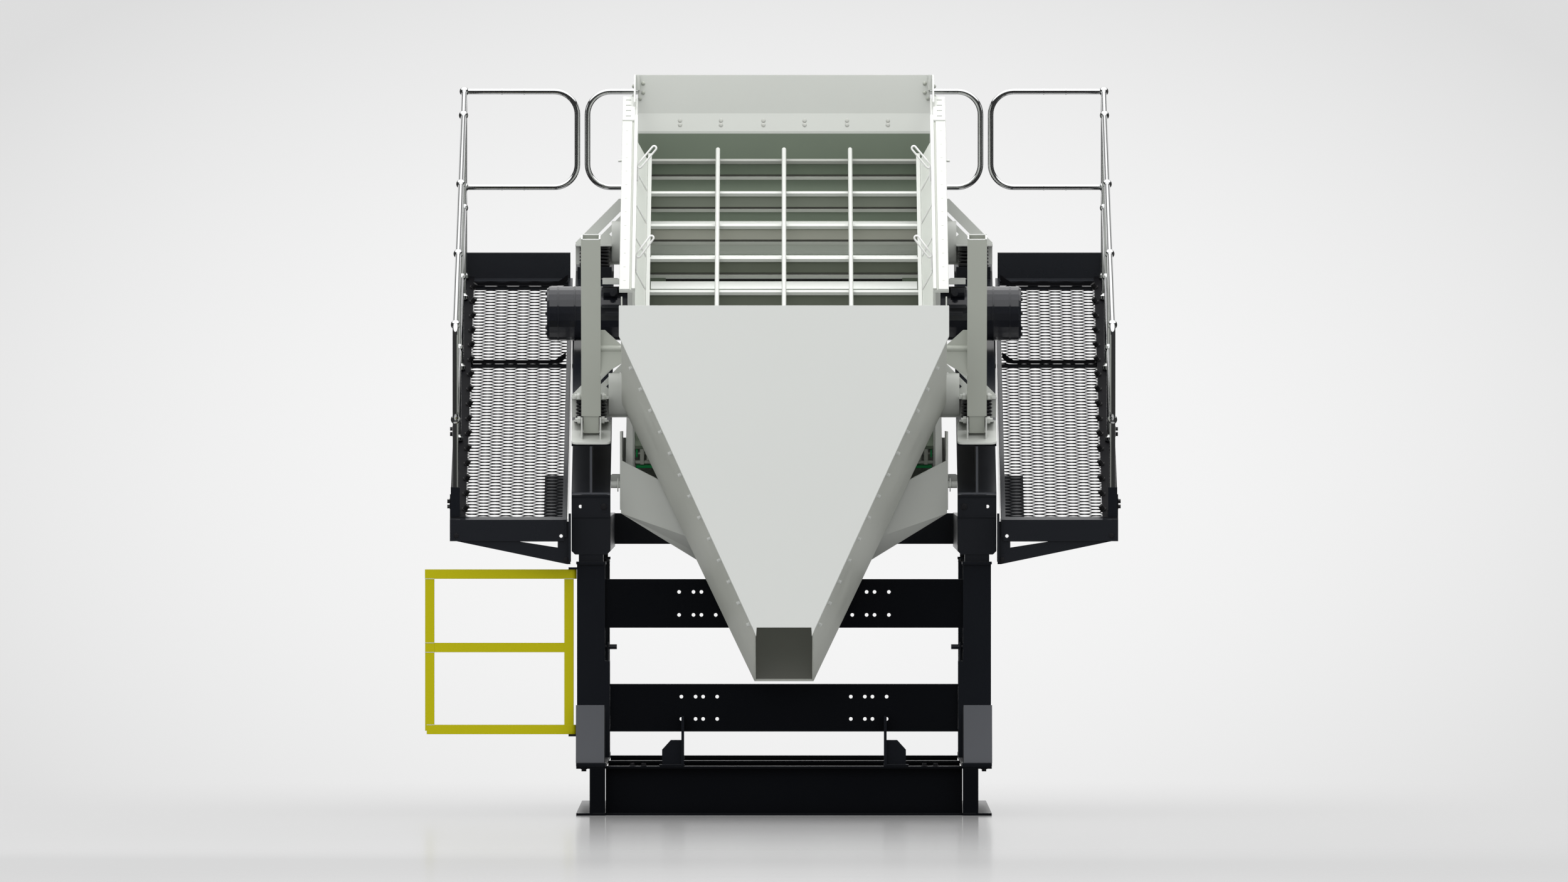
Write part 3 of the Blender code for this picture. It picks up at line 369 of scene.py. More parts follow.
PLAIN = {"edge_lift": 0.0, "dust": 0.0}
WEB = {"edge_lift": 0.0, "patch": 0.2}
BLACK = {"edge_radius": 0.003, "patch": 0.3, "dust": 0.0}
FINISHES = {  # maker, colour or the setting that holds it, roughness, other settings
    "frame_paint": (painted, "frame_black", 0.24, {**BLACK, "edge_lift": 0.03, "specular": 0.35}),
    "shaded_black": (painted, (0.0030, 0.0036, 0.0050), 0.26, {**BLACK, "edge_lift": 0.02, "specular": 0.22}),
    "satin_black": (painted, (0.0115, 0.0130, 0.0165), 0.26, {**BLACK, "edge_lift": 0.03, "patch": 0.2}),
    # painted reflection and highlight on the black frame
    "black_frame_painted_sheen": (painted, (0.058, 0.062, 0.072), 0.4, {"edge_lift": 0.1, "dust": 0.0}),
    "walkway_steel": (painted, (0.004, 0.004, 0.005), 0.7, {**PLAIN, "specular": 0.08}),
    "rail_chrome": (bare_metal, (0.86, 0.87, 0.87), 0.09, {"spread": 0.02, "bump": 0.001}),
    "box_paint": (painted, "box_grey", 0.38, {"edge_lift": 0.4}),
    "deck_paint": (painted, "deck_green", 0.6, {"edge_lift": 0.1, "patch": 0.12}),
    "chute_paint": (painted, "chute_grey", 0.45, {"patch": 0.02}),
    # painted shade on the chute's down-facing sides
    "chute_side_shaded_paint": (sheet_metal, "side_grey", 0.50, {}),
    "wall_paint": (painted, "wall_green", 0.6, {"edge_lift": 0.1, "patch": 0.2}),
    # near black for painted shadows under ledges and for a slot
    "shadow_and_slot_black": (painted, (0.01, 0.011, 0.01), 0.7, {**PLAIN, "specular": 0.1}),
    "rubber_black": (painted, (0.008, 0.008, 0.009), 0.5, {"edge_lift": 0.0, "specular": 0.25}),
    "post_paint": (painted, "post_grey", 0.32, {}),
    "spring_black": (painted, (0.008, 0.008, 0.010), 0.22, PLAIN),
    "motor_paint": (painted, "motor_blue", 0.20, {"edge_lift": 0.08, "dust": 0.02, "coat": 0.4}),
    "rotor_steel": (bare_metal, (0.50, 0.50, 0.49), 0.35, {"spread": 0.15}),
    "gate_yellow": (painted, "gate_yellow", 0.45, {"edge_lift": 0.12, "dust": 0.0, "specular": 0.12}),
    "bolt_black": (painted, (0.012, 0.012, 0.014), 0.30, {"edge_lift": 0.06, "edge_radius": 0.0015}),
    # painted light and shade: darker and paler tones for the deck members' webs, which share one paint
    "web_deep_painted_shade": (painted, (0.128, 0.142, 0.110), 0.6, WEB),
    "web_painted_light": (painted, (0.410, 0.410, 0.360), 0.6, WEB),
    "web_half_painted_shade": (painted, (0.222, 0.242, 0.202), 0.6, WEB),
    "shade_grey": (painted, (0.400, 0.415, 0.380), 0.5, {"edge_lift": 0.1}),
    # painted shade for the cap under the feed box's lip
    "cap_painted_shade": (painted, (0.245, 0.255, 0.232), 0.5, {"edge_lift": 0.05}),
    "liner_pale": (painted, (0.62, 0.645, 0.60), 0.45, {"edge_lift": 0.2, "dust": 0.0}),
    # painted shade: near black for recesses and the chute's inside
    "painted_shade_dark": (painted, (0.095, 0.097, 0.085), 0.6, {**PLAIN, "specular": 0.2}),
    # painted light: paler and glowing tones inside the feed box
    "wall_low_painted_light": (painted, (0.155, 0.190, 0.145), 0.6, {**WEB, "glow": 0.25}),
    "hold_down_painted_light": (painted, (0.80, 0.82, 0.79), 0.45, {**PLAIN, "glow": 0.32}),
    "band_painted_light": (painted, (0.80, 0.82, 0.79), 0.45, {**PLAIN, "glow": 0.60}),
    "hopper_grey": (painted, (0.465, 0.480, 0.450), 0.45, {"edge_lift": 0.3}),
    "lip_bolt": (painted, (0.42, 0.43, 0.40), 0.45, PLAIN),
    # pale trim, and a painted highlight on the walkways' inner edge
    "pale_trim_and_painted_highlight": (painted, (0.80, 0.80, 0.79), 0.4, PLAIN),
    "liner_green": (painted, "liner_green", 0.5, {"edge_lift": 0.15}),
}


MADE = {}


def finish(name):
    """The material of a finish, made once."""
    if name not in MADE:
        maker, colour, roughness, others = FINISHES[name]
        if isinstance(colour, str):
            colour = getattr(bpy.context.scene.module_paints, colour)
        MADE[name] = maker(name, colour, roughness, **others)
    return MADE[name]


# ---- mesh helpers: each adds one closed shell to a bmesh ----
def add_prism(bm, outline, axis, low, high, matrix=None):
    """A flat outline pushed along an axis: (y, z) along x, (x, z) along y, (x, y) along z."""
    place = {
        "x": lambda a, b, c: (c, a, b),
        "y": lambda a, b, c: (a, c, b),
        "z": lambda a, b, c: (a, b, c),
    }[axis]
    bottom, top = ([bm.verts.new(place(a, b, level)) for a, b in outline] for level in sorted((low, high)))
    faces = [bm.faces.new(bottom), bm.faces.new(top[::-1])]
    for i in range(len(outline)):
        faces.append(bm.faces.new((bottom[i], bottom[i - 1], top[i - 1], top[i])))
    bmesh.ops.recalc_face_normals(bm, faces=faces)
    if matrix is not None:
        bmesh.ops.transform(bm, matrix=matrix, verts=bottom + top)
    return bottom + top


def add_box(bm, x0, x1, y0, y1, z0, z1, matrix=None):
    return add_prism(bm, [(y0, z0), (y1, z0), (y1, z1), (y0, z1)], "x", x0, x1, matrix)


def add_box_pair(bm, x0, x1, *sides, matrix=None):
    """The same box on the left and on the right."""
    for s in BOTH:
        add_box(bm, s * x0, s * x1, *sides, matrix=matrix)


def add_lathe(bm, profile, start, end, sides=24, ring_shaped=False):
    """A turned shape along the line start-end: profile is (distance from start, radius).

    A ring-shaped one joins its last circle to its first and leaves the middle open.
    """
    start, end = Vector(start), Vector(end)
    along = (end - start).normalized()
    side = along.orthogonal().normalized()
    other = along.cross(side)
    turns = [math.tau * k / sides for k in range(sides)]
    rays = [math.cos(turn) * side + math.sin(turn) * other for turn in turns]
    rings = [
        [bm.verts.new(start + along * distance + radius * ray) for ray in rays] for distance, radius in profile
    ]
    following = rings[1:] + rings[:1] if ring_shaped else rings[1:]
    faces = []
    for one, two in zip(rings, following):
        for k in range(sides):
            faces.append(bm.faces.new((one[k - 1], one[k], two[k], two[k - 1])))
    if not ring_shaped:
        faces += [bm.faces.new(rings[0]), bm.faces.new(rings[-1])]
    bmesh.ops.recalc_face_normals(bm, faces=faces)


def add_rod(bm, start, end, radius, sides=24):
    add_lathe(bm, [(0.0, radius), ((Vector(end) - Vector(start)).length, radius)], start, end, sides)


def add_pin(bm, x, y, z, runs, heads, depth):
    """A level cross pin: its round runs and its hexagon heads, as offsets from x."""
    shank, head_radius = 0.0125, 0.021
    for start, end in runs:
        add_rod(bm, (x + start, y, z), (x + end, y, z), shank, 16)
    for head in heads:
        profile = [(0.0, head_radius), (depth, head_radius)]
        add_lathe(bm, profile, (x + head, y, z), (x + head + 1.0, y, z), 6)


def lean(verts, y0):
    """Shears level vertices so that they follow the slope, fixed at y0."""
    for vert in verts:
        vert.co.z += RISE * (vert.co.y - y0)


def new_object(name, data):
    obj = bpy.data.objects.new(name, data)
    bpy.context.scene.collection.objects.link(obj)
    return obj


def settle(obj, finish_name, body, replaces=(), smooth=None):
    """Gives a finished piece its material and body."""
    obj.data.materials.clear()
    obj.data.materials.append(finish(finish_name))
    if smooth is not None:
        obj.data.shade_smooth()
        obj.data.set_sharp_from_angle(angle=math.radians(smooth))
    if body is not None:
        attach(obj, body)
    if replaces:
        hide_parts(*replaces)


def mesh_from(bm, name):
    mesh = bpy.data.meshes.new(name)
    bm.to_mesh(mesh)
    bm.free()
    return mesh


def piece_from(bm, name, finish_name, body, slot, replaces=(), smooth=30):
    """One piece from a bmesh, riding on a body."""
    settle(new_object(name, mesh_from(bm, name)), finish_name, body, replaces, smooth)


# ---- pieces that geometry nodes grow ----
def geometry_tree(name, inputs):
    sockets = [("Geometry", GEOMETRY, None), *inputs, ("Finish", MATERIAL, None)]
    return new_group(name, "GeometryNodeTree", sockets, [("Geometry", GEOMETRY, None)])


def end_tree(graph, given, end, geometry, smooth=False):
    """Realize Instances and Set Material, which every tree ends in."""
    realized = graph.out("RealizeInstances", {"Geometry": geometry})
    if smooth:
        realized = graph.out("SetShadeSmooth", {0: realized})
    coated = graph.out("SetMaterial", {"Geometry": realized, "Material": given["Finish"]})
    graph.link({"Geometry": coated}, end)
    return graph.tree


def grow(name, tree_name, mesh, values, finish_name, body, slot, replaces=()):
    """A settled piece holding, as a plain mesh, what the tree makes of the given mesh."""
    tree = tree_named(tree_name)
    seed = new_object(name + "_seed", mesh)
    modifier = seed.modifiers.new("grow", "NODES")
    modifier.node_group = tree
    values = {**values, "Finish": finish(finish_name)}
    for item in tree.interface.items_tree:
        if item.item_type == "SOCKET" and item.in_out == "INPUT" and item.name in values:
            modifier[item.identifier] = values[item.name]
    depsgraph = bpy.context.evaluated_depsgraph_get()
    result = bpy.data.meshes.new_from_object(seed.evaluated_get(depsgraph))
    result.name = name
    seed.modifiers.remove(modifier)
    bpy.data.objects.remove(seed, do_unlink=True)
    if not result.vertices:
        raise RuntimeError(f"{name} came out empty")
    obj = new_object(name, result)
    settle(obj, finish_name, body, replaces)
    return obj


def mesh_of_points(name, points, facings=()):
    """Loose points, each with the direction its copy stands out in."""
    mesh = bpy.data.meshes.new(name)
    mesh.from_pydata([tuple(p) for p in points], [], [])
    if facings:
        attribute = mesh.attributes.new("facing", "FLOAT_VECTOR", "POINT")
        attribute.data.foreach_set("vector", [c for f in facings for c in f])
    return mesh


def mesh_of_paths(name, paths):
    """Open or closed polylines as loose edges: each path is (points, closed)."""
    points, edges = [], []
    for path, closed in paths:
        first = len(points)
        points += [tuple(p) for p in path]
        edges += [(first + i, first + i + 1) for i in range(len(path) - 1)]
        if closed:
            edges.append((len(points) - 1, first))
    mesh = bpy.data.meshes.new(name)
    mesh.from_pydata(points, edges, [])
    return mesh


def expanded_metal_tree():
    """Zigzag strands that meet at their bonds, laid over a sloping rectangle."""
    graph, given, end = geometry_tree("expanded_metal", [
        ("Width", FLOAT, 0.58), ("Length", FLOAT, 4.4), ("Long Way", FLOAT, 0.129), ("Short Way", FLOAT, 0.0575),
        ("Strand Width", FLOAT, 0.006), ("Strand Depth", FLOAT, 0.004),
        ("Centre", VECTOR, (0.0, 0.0, 0.0)), ("Turn", VECTOR, (0.0, 0.0, 0.0)),
    ])
    calc, steps = graph.calc, 6.0
    column_gap = calc("DIVIDE", given["Long Way"], steps)
    columns = calc("ADD", calc("ROUND", calc("DIVIDE", given["Width"], column_gap)), 1.0)
    row_gap = calc("MULTIPLY", given["Short Way"], 0.5)
    rows = calc("ROUND", calc("DIVIDE", given["Length"], row_gap))
    grid = graph.out("MeshGrid", {
        "Size X": given["Width"], "Size Y": calc("SUBTRACT", given["Length"], row_gap),
        "Vertices X": columns, "Vertices Y": rows,
    })
    index = graph.out("InputIndex")
    row = calc("MODULO", index, rows)
    column = calc("FLOOR", calc("DIVIDE", calc("ADD", index, 0.5), rows))
    side = calc("SUBTRACT", 1.0, calc("MULTIPLY", calc("MODULO", row, 2.0), 2.0))
    wave = calc("COSINE", calc("MULTIPLY", column, math.tau / steps))
    flat_topped = graph.out("ShaderNodeClamp", {"Value": calc("MULTIPLY", wave, 1.3), "Min": -1.0, "Max": 1.0})
    reach = calc("MULTIPLY", calc("SUBTRACT", row_gap, given["Strand Width"]), 0.5)
    shift = calc("MULTIPLY", calc("MULTIPLY", flat_topped, side), reach)
    ends = graph.add("InputMeshEdgeVertices").outputs
    apart = graph.out("ShaderNodeVectorMath", {
        0: ends["Position 1"], 1: ends["Position 2"],
    }, operation="SUBTRACT")
    apart_y = graph.out("ShaderNodeSeparateXYZ", {0: apart}, "Y")
    crossing = graph.out("FunctionNodeCompare", {
        0: calc("ABSOLUTE", apart_y), 1: 0.0001,
    }, data_type="FLOAT", operation="GREATER_THAN")
    strands = graph.out("DeleteGeometry", {
        "Geometry": grid, "Selection": crossing,
    }, domain="EDGE", mode="EDGE_FACE")
    offset = graph.out("ShaderNodeCombineXYZ", {"Y": shift})
    zigzag = graph.out("SetPosition", {"Geometry": strands, "Offset": offset})
    lines = graph.out("MeshToCurve", {"Mesh": zigzag})
    section = graph.out("CurvePrimitiveQuadrilateral", {
        "Width": given["Strand Width"], "Height": given["Strand Depth"],
    })
    bars = graph.out("CurveToMesh", {"Curve": lines, "Profile Curve": section, "Fill Caps": True})
    laid = graph.out("Transform", {"Geometry": bars, "Translation": given["Centre"], "Rotation": given["Turn"]})
    return end_tree(graph, given, end, laid)


def coil_spring_tree():
    """A round wire wound from a flat lower ring to a flat upper ring."""
    graph, given, end = geometry_tree("coil_spring", [
        ("Turns", FLOAT, 5.0), ("Radius", FLOAT, 0.083), ("Height", FLOAT, 0.118), ("Wire", FLOAT, 0.009),
        ("Foot", VECTOR, (0.0, 0.0, 0.0)),
    ])
    rise = graph.calc("SUBTRACT", given["Height"], graph.calc("MULTIPLY", given["Wire"], 2.0))
    spiral = graph.out("CurveSpiral", {
        "Resolution": 30, "Rotations": given["Turns"], "Start Radius": given["Radius"],
        "End Radius": given["Radius"], "Height": rise,
    })
    ring = graph.out("CurvePrimitiveCircle", {"Resolution": 40, "Radius": given["Radius"]})
    top = graph.out("ShaderNodeCombineXYZ", {"Z": rise})
    upper = graph.out("Transform", {"Geometry": ring, "Translation": top})
    coils = graph.add("JoinGeometry")
    for part in (spiral, ring, upper):
        graph.link({0: part}, coils)
    wire = graph.out("CurvePrimitiveCircle", {"Resolution": 12, "Radius": given["Wire"]})
    tube = graph.out("CurveToMesh", {"Curve": coils.outputs[0], "Profile Curve": wire, "Fill Caps": True})
    lift = graph.out("ShaderNodeCombineXYZ", {"Z": given["Wire"]})
    foot = graph.out("ShaderNodeVectorMath", {0: given["Foot"], 1: lift}, operation="ADD")
    standing = graph.out("Transform", {"Geometry": tube, "Translation": foot})
    return end_tree(graph, given, end, standing, smooth=True)


def tube_run_tree():
    """Round tubes along the given edges."""
    graph, given, end = geometry_tree("tube_run", [("Radius", FLOAT, 0.0168), ("Sides", INTEGER, 20)])
    lines = graph.out("MeshToCurve", {"Mesh": given["Geometry"]})
    section = graph.out("CurvePrimitiveCircle", {"Resolution": given["Sides"], "Radius": given["Radius"]})
    tubes = graph.out("CurveToMesh", {"Curve": lines, "Profile Curve": section, "Fill Caps": True})
    return end_tree(graph, given, end, tubes, smooth=True)


def ball_joint_tree():
    """A ball at each point."""
    graph, given, end = geometry_tree("ball_joints", [("Radius", FLOAT, 0.028)])
    ball = graph.out("MeshUVSphere", {"Segments": 24, "Rings": 14, "Radius": given["Radius"]})
    placed = graph.out("InstanceOnPoints", {"Points": given["Geometry"], "Instance": ball})
    return end_tree(graph, given, end, placed, smooth=True)


def fastener_tree():
    """A hexagon head on a washer at each point, standing out along its facing, turned at random."""
    graph, given, end = geometry_tree("fasteners", [
        ("Head Radius", FLOAT, 0.012), ("Head Height", FLOAT, 0.008),
        ("Washer Radius", FLOAT, 0.016), ("Washer Height", FLOAT, 0.002), ("Seed", INTEGER, 3),
    ])
    head, washer = (graph.out("MeshCylinder", {
        "Vertices": corners, "Radius": given[f"{part} Radius"], "Depth": given[f"{part} Height"],
    }) for part, corners in (("Head", 6), ("Washer", 14)))
    half_head = graph.calc("MULTIPLY", given["Head Height"], 0.5)
    half_washer = graph.calc("MULTIPLY", given["Washer Height"], 0.5)
    head_up = graph.calc("ADD", given["Washer Height"], half_head)
    joined = graph.add("JoinGeometry")
    for part, height in ((head, head_up), (washer, half_washer)):
        up = graph.out("ShaderNodeCombineXYZ", {"Z": height})
        graph.link({0: graph.out("Transform", {"Geometry": part, "Translation": up})}, joined)
    facing = graph.out("InputNamedAttribute", {"Name": "facing"}, data_type="FLOAT_VECTOR")
    aimed = graph.out("FunctionNodeAlignRotationToVector", {"Vector": facing}, axis="Z")
    spin = graph.add("FunctionNodeRandomValue", {"Max": math.tau, "Seed": given["Seed"]}, data_type="FLOAT")
    spin.inputs[3].default_value = math.tau
    about = graph.out("FunctionNodeAxisAngleToRotation", {"Angle": spin.outputs[1]})
    turned = graph.out("FunctionNodeRotateRotation", {
        "Rotation": aimed, "Rotate By": about,
    }, rotation_space="LOCAL")
    placed = graph.out("InstanceOnPoints", {
        "Points": given["Geometry"], "Instance": joined.outputs[0], "Rotation": turned,
    })
    return end_tree(graph, given, end, placed)


def add_fasteners(name, places, radius, finish_name, body, slot, height=0.7, washer=1.35):
    """Bolt heads as one piece: places are (point, facing) pairs."""
    mesh = mesh_of_points(name, [p for p, _ in places], [f for _, f in places])
    grow(name, "fasteners", mesh, {
        "Head Radius": radius, "Head Height": radius * height,
        "Washer Radius": radius * washer, "Washer Height": radius * 0.18, "Seed": 3,
    }, finish_name, body, slot)


# ---- stage ----
class MakeStage(bpy.types.Operator):
    """Pale floor, soft studio light and the camera"""

    bl_idname = "screen_module.stage"
    bl_label = "Stage"

    def execute(self, context):
        context.scene.view_settings.view_transform = "Standard"
        self.floor()
        self.world(context.scene)
        self.lights()
        self.camera(context.scene)
        return {"FINISHED"}

    def floor(self):
        """A large disc, glossy at a grazing angle, that fades into the backdrop around the part."""
        bm = bmesh.new()
        bmesh.ops.create_circle(bm, cap_ends=True, segments=96, radius=30.0)
        bmesh.ops.translate(bm, verts=bm.verts, vec=(0.0, 0.0, CAD_BOX[0].z - 0.001))
        obj = new_object("floor", mesh_from(bm, "floor"))
        material = bpy.data.materials.new("studio_floor")
        material.use_nodes = True
        material.node_tree.nodes.clear()
        graph = Graph(material.node_tree)
        place = graph.out("TexCoord", output="Object")
        oval = graph.out("Mapping", {
            "Vector": place, "Location": (0.0, 0.43, 0.0), "Scale": (1 / 13.0, 1 / 21.0, 1.0),
        })
        away = graph.out("VectorMath", {0: oval}, "Value", operation="LENGTH")
        glow = graph.out("Emission", {"Color": (0.780, 0.780, 0.783, 1.0)})
        matte = graph.out("BsdfDiffuse", {"Color": (0.42, 0.42, 0.42, 1.0)})
        sheen = graph.out("BsdfGlossy", {"Color": (0.95, 0.95, 0.95, 1.0), "Roughness": 0.13})
        base = graph.out("MixShader", {0: 0.40, 1: glow, 2: matte})
        near = graph.remap(graph.out("SeparateXYZ", {0: place}, "Y"), -19.0, -2.5, 0.12, 0.75)
        grazing = graph.remap(graph.out("LayerWeight", output="Facing"), 0.85, 0.97, 0.08, 1.0)
        surface = graph.out("MixShader", {0: graph.calc("MULTIPLY", near, grazing), 1: base, 2: sheen})
        mixed = graph.out("MixShader", {
            0: graph.remap(away, 0.35, 1.0, **STEEP), 1: surface, 2: graph.out("BsdfTransparent"),
        })
        graph.add("OutputMaterial", {"Surface": mixed})
        obj.data.materials.append(material)
        obj.visible_glossy = False

    def world(self, scene):
        """Pale backdrop with a soft vignette; reflections see a softbox overhead and dark sides."""
        world = bpy.data.worlds.new("studio")
        scene.world = world
        world.use_nodes = True
        world.node_tree.nodes.clear()
        graph = Graph(world.node_tree)
        calc, remap = graph.calc, graph.remap
        ray = graph.add("LightPath").outputs
        way = graph.add("SeparateXYZ", {0: graph.out("TexCoord", output="Generated")}).outputs
        across = calc("DIVIDE", way["X"], 0.0294)
        upright = calc("DIVIDE", calc("ADD", way["Z"], 0.0026), 0.01645)
        spread = calc("ADD", calc("POWER", across, 2.0), calc("POWER", upright, 2.0))
        overhead = remap(way["Z"], 0.50, 0.60, 0.0, 1.35, **STEEP)
        behind = remap(way["Y"], 0.80, 0.97, 0.03, 0.82, **STEEP)
        below = remap(way["Z"], -0.70, -0.90, 0.0, 0.45, **STEEP)
        backdrop, mirrored, fill = (graph.out("Background", {
            "Color": (1.0, 1.0, 1.0, 1.0), "Strength": strength,
        }) for strength in (
            remap(spread, 0.2, 1.7, 0.912, 0.726),
            calc("MAXIMUM", below, calc("MAXIMUM", overhead, behind)),
            remap(way["Z"], -0.6, 1.0, 0.45, 1.35),
        ))
        lit = graph.out("MixShader", {0: ray["Is Glossy Ray"], 1: fill, 2: mirrored})
        seen = graph.out("MixShader", {0: ray["Is Camera Ray"], 1: lit, 2: backdrop})
        graph.add("OutputWorld", {"Surface": seen})

    def lights(self):
        """Soft boxes that light the part without showing in its reflections."""
        for name, place, aim, size, power in (
            ("top_softbox", (0.0, -0.5, 10.0), (0.0, 0.0, 2.0), 8.0, 620.0),
            ("front_softbox", (-2.0, -14.0, 6.0), (0.0, -1.0, 2.0), 7.0, 330.0),
            ("rear_softbox", (3.0, 10.0, 7.0), (0.0, 0.0, 2.5), 5.0, 260.0),
        ):
            light = bpy.data.lights.new(name, "AREA")
            light.shape = "SQUARE"
            light.size = size
            light.energy = power
            obj = new_object(name, light)
            self.aim(obj, place, aim)
            obj.visible_camera = False
            obj.visible_glossy = False

    def camera(self, scene):
        """A telephoto view straight up the deck, as if from a great distance."""
        reach, eye_height, aim_height = 152.0, 2.54, 2.1336
        near_plane, wide = -2.25, 8.9286
        data = bpy.data.cameras.new("camera")
        data.sensor_width = 36.0
        data.lens = data.sensor_width * reach / wide
        data.clip_start = 1.0
        data.clip_end = 400.0
        scene.camera = new_object("camera", data)
        self.aim(scene.camera, (0.0, near_plane - reach, eye_height), (0.0, near_plane, aim_height))

    def aim(self, obj, place, target):
        obj.location = place
        obj.rotation_euler = (Vector(target) - obj.location).to_track_quat("-Z", "Y").to_euler()


# ---- finishes of the solids that stay ----
class PaintSolids(bpy.types.Operator):
    """Give every solid of the frame its finish"""

    bl_idname = "screen_module.paint_solids"
    bl_label = "Paint solids"

    def execute(self, context):
        other = {"chute_body": "chute_side_shaded_paint", "hopper": "hopper_grey"}
        for node in frame["nodes"]:
            if node.startswith(("base_", "tie_")):
                other[node] = "shaded_black"
            elif node.startswith(("chord_", "walkway_frame")):
                other[node] = "satin_black"
        for subpart in frame["record"]["subparts"]:
            node = frame["nodes"][subpart["node"]]
            node.data.materials.clear()
            node.data.materials.append(finish(other.get(subpart["node"], subpart["material_slot"])))
        return {"FINISHED"}


# ---- walkways ----
class MakeGratings(bpy.types.Operator):
    """Expanded metal floors of the walkways"""

    bl_idname = "screen_module.gratings"
    bl_label = "Gratings"

    def execute(self, context):
        sizes = context.scene.module_sizes
        for side, _ in SIDES:
            node, name = f"walkway_grating_{side}", f"grating_{side}"
            low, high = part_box(node)
            middle = (low + high) / 2
            middle.z = deck_top(middle.y) - 0.004
            grow(name, "expanded_metal", bpy.data.meshes.new(name), {
                "Width": high.x - low.x, "Length": (high.y - low.y) / math.cos(SLOPE),
                "Long Way": sizes.mesh_long_way, "Short Way": sizes.mesh_short_way,
                "Strand Width": sizes.strand_width, "Strand Depth": sizes.strand_depth,
                "Centre": middle, "Turn": (SLOPE, 0.0, 0.0),
            }, "walkway_steel", "frame", "walkway_steel", [node])
        return {"FINISHED"}


def stanchion_places():
    """Where the handrail's uprights stand along the walkway."""
    first, pitch, last = -2.19, 1.26, 1.97
    return [first + pitch * k for k in range(4)] + [last]


class MakeWalkwayTrim(bpy.types.Operator):
    """Stanchion plates, toe strips, bolts, cross bars and a pale strip on the walkways' inner edge as a painted
    highlight
    """

    bl_idname = "screen_module.walkway_trim"
    bl_label = "Walkway trim"

    def execute(self, context):
        for side, s in SIDES:
            self.stanchions(side, s)
            self.edges(side, s)
            corners = ((1.8661, -2.2499, 1.5946), (1.2411, -2.2414, 1.4571))
            bolts = [(Vector((s * x, y, z)), (0, -1, 0)) for x, y, z in corners]
            add_fasteners(f"walkway_corner_bolts_{side}", bolts, 0.011, "bolt_black", "frame", "frame_paint")
        return {"FINISHED"}

    def stanchions(self, side, s):
        plates, places = bmesh.new(), []
        out, thick = 1.9028, 0.008
        for y in stanchion_places():
            low, high = (y - 0.035, y + 0.035) if y > -2.1 else (y - 0.03, y + 0.05)
            for vert in add_box(plates, s * (out - thick), s * out, low, high, -0.11, 0.125):
                vert.co.z += deck_top(y)
            for up in (0.085, 0.055):
                for x, facing in ((out - thick, -s), (out, s)):
                    places.append((Vector((s * x, y, deck_top(y) + up)), (facing, 0, 0)))
        foot = deck_top(stanchion_places()[0])
        add_box(plates, s * 1.846, s * 1.898, -2.236, -2.226, foot - 0.02, foot + 0.165)
        piece_from(plates, f"stanchion_plates_{side}", "frame_paint", "frame", "frame_paint")
        add_fasteners(f"stanchion_bolts_{side}", places, 0.012, "bolt_black", "frame", "frame_paint", height=1.1)

    def edges(self, side, s):
        """The dark toe strip with its studs, the cross bars' curled ends and a pale strip along the inner edge as
        a painted highlight.
        """
        toe, edge_highlight_strip, front = bmesh.new(), bmesh.new(), -2.247
        base = deck_top(front)
        for bm, x0, x1, back, low, high in (
            (toe, 1.8145, 1.866, 2.014, 0.0085, 0.0125), (toe, 1.866, 1.9015, 2.014, 0.0085, 0.010),
            (edge_highlight_strip, 1.2275, 1.2345, 2.012, -0.012, 0.004),
        ):
            lean(add_box(bm, s * x0, s * x1, front, back, base + low, base + high), front)
        bar = [(1.3300, -0.0150), (1.8143, -0.0150), (1.8143, 0.006), (1.3300, 0.006)]
        curl = [
            (1.2640, 0.020), (1.2950, -0.0110), (1.3300, -0.0150),
            (1.3300, 0.006), (1.3050, 0.022), (1.2640, 0.052),
        ]
        for y in (0.53, 1.93):
            for outline in (bar, curl):
                add_prism(toe, [(s * x, deck_top(y) + up) for x, up in outline], "y", y - 0.013, y - 0.007)
        piece_from(toe, f"walkway_toe_{side}", "walkway_steel", "frame", "frame_paint")
        places = [-2.12 + 0.262 * k for k in range(16)]
        studs = [(Vector((s * 1.820, y, deck_top(y) + 0.012)), (-0.55 * s, -0.3, 0.8)) for y in places]
        add_fasteners(f"walkway_studs_{side}", studs, 0.015, "rubber_black", "frame", "frame_paint", height=1.9)
        # painted highlight: a pale strip along the walkway's inner edge
        piece_from(edge_highlight_strip, f"walkway_inner_edge_{side}", "pale_trim_and_painted_highlight", "frame", "frame_paint")


# ---- handrails ----
def rounded_path(points, radius, steps=8):
    """Replaces each inner point of an open path by an arc of this radius."""
    points = [Vector(p) for p in points]
    path = [points[0]]
    for before, corner, after in zip(points, points[1:], points[2:]):
        into, out = (corner - before).normalized(), (after - corner).normalized()
        half = math.acos(max(-1.0, min(1.0, into.dot(out)))) / 2
        centre = corner + (out - into).normalized() * (radius / math.cos(half))
        back = radius * math.tan(half)
        start, end = corner - into * back, corner + out * back
        for i in range(steps + 1):
            ray = (start - centre).slerp(end - centre, i / steps)
            path.append(centre + ray.normalized() * radius)
    return [*path, points[-1]]


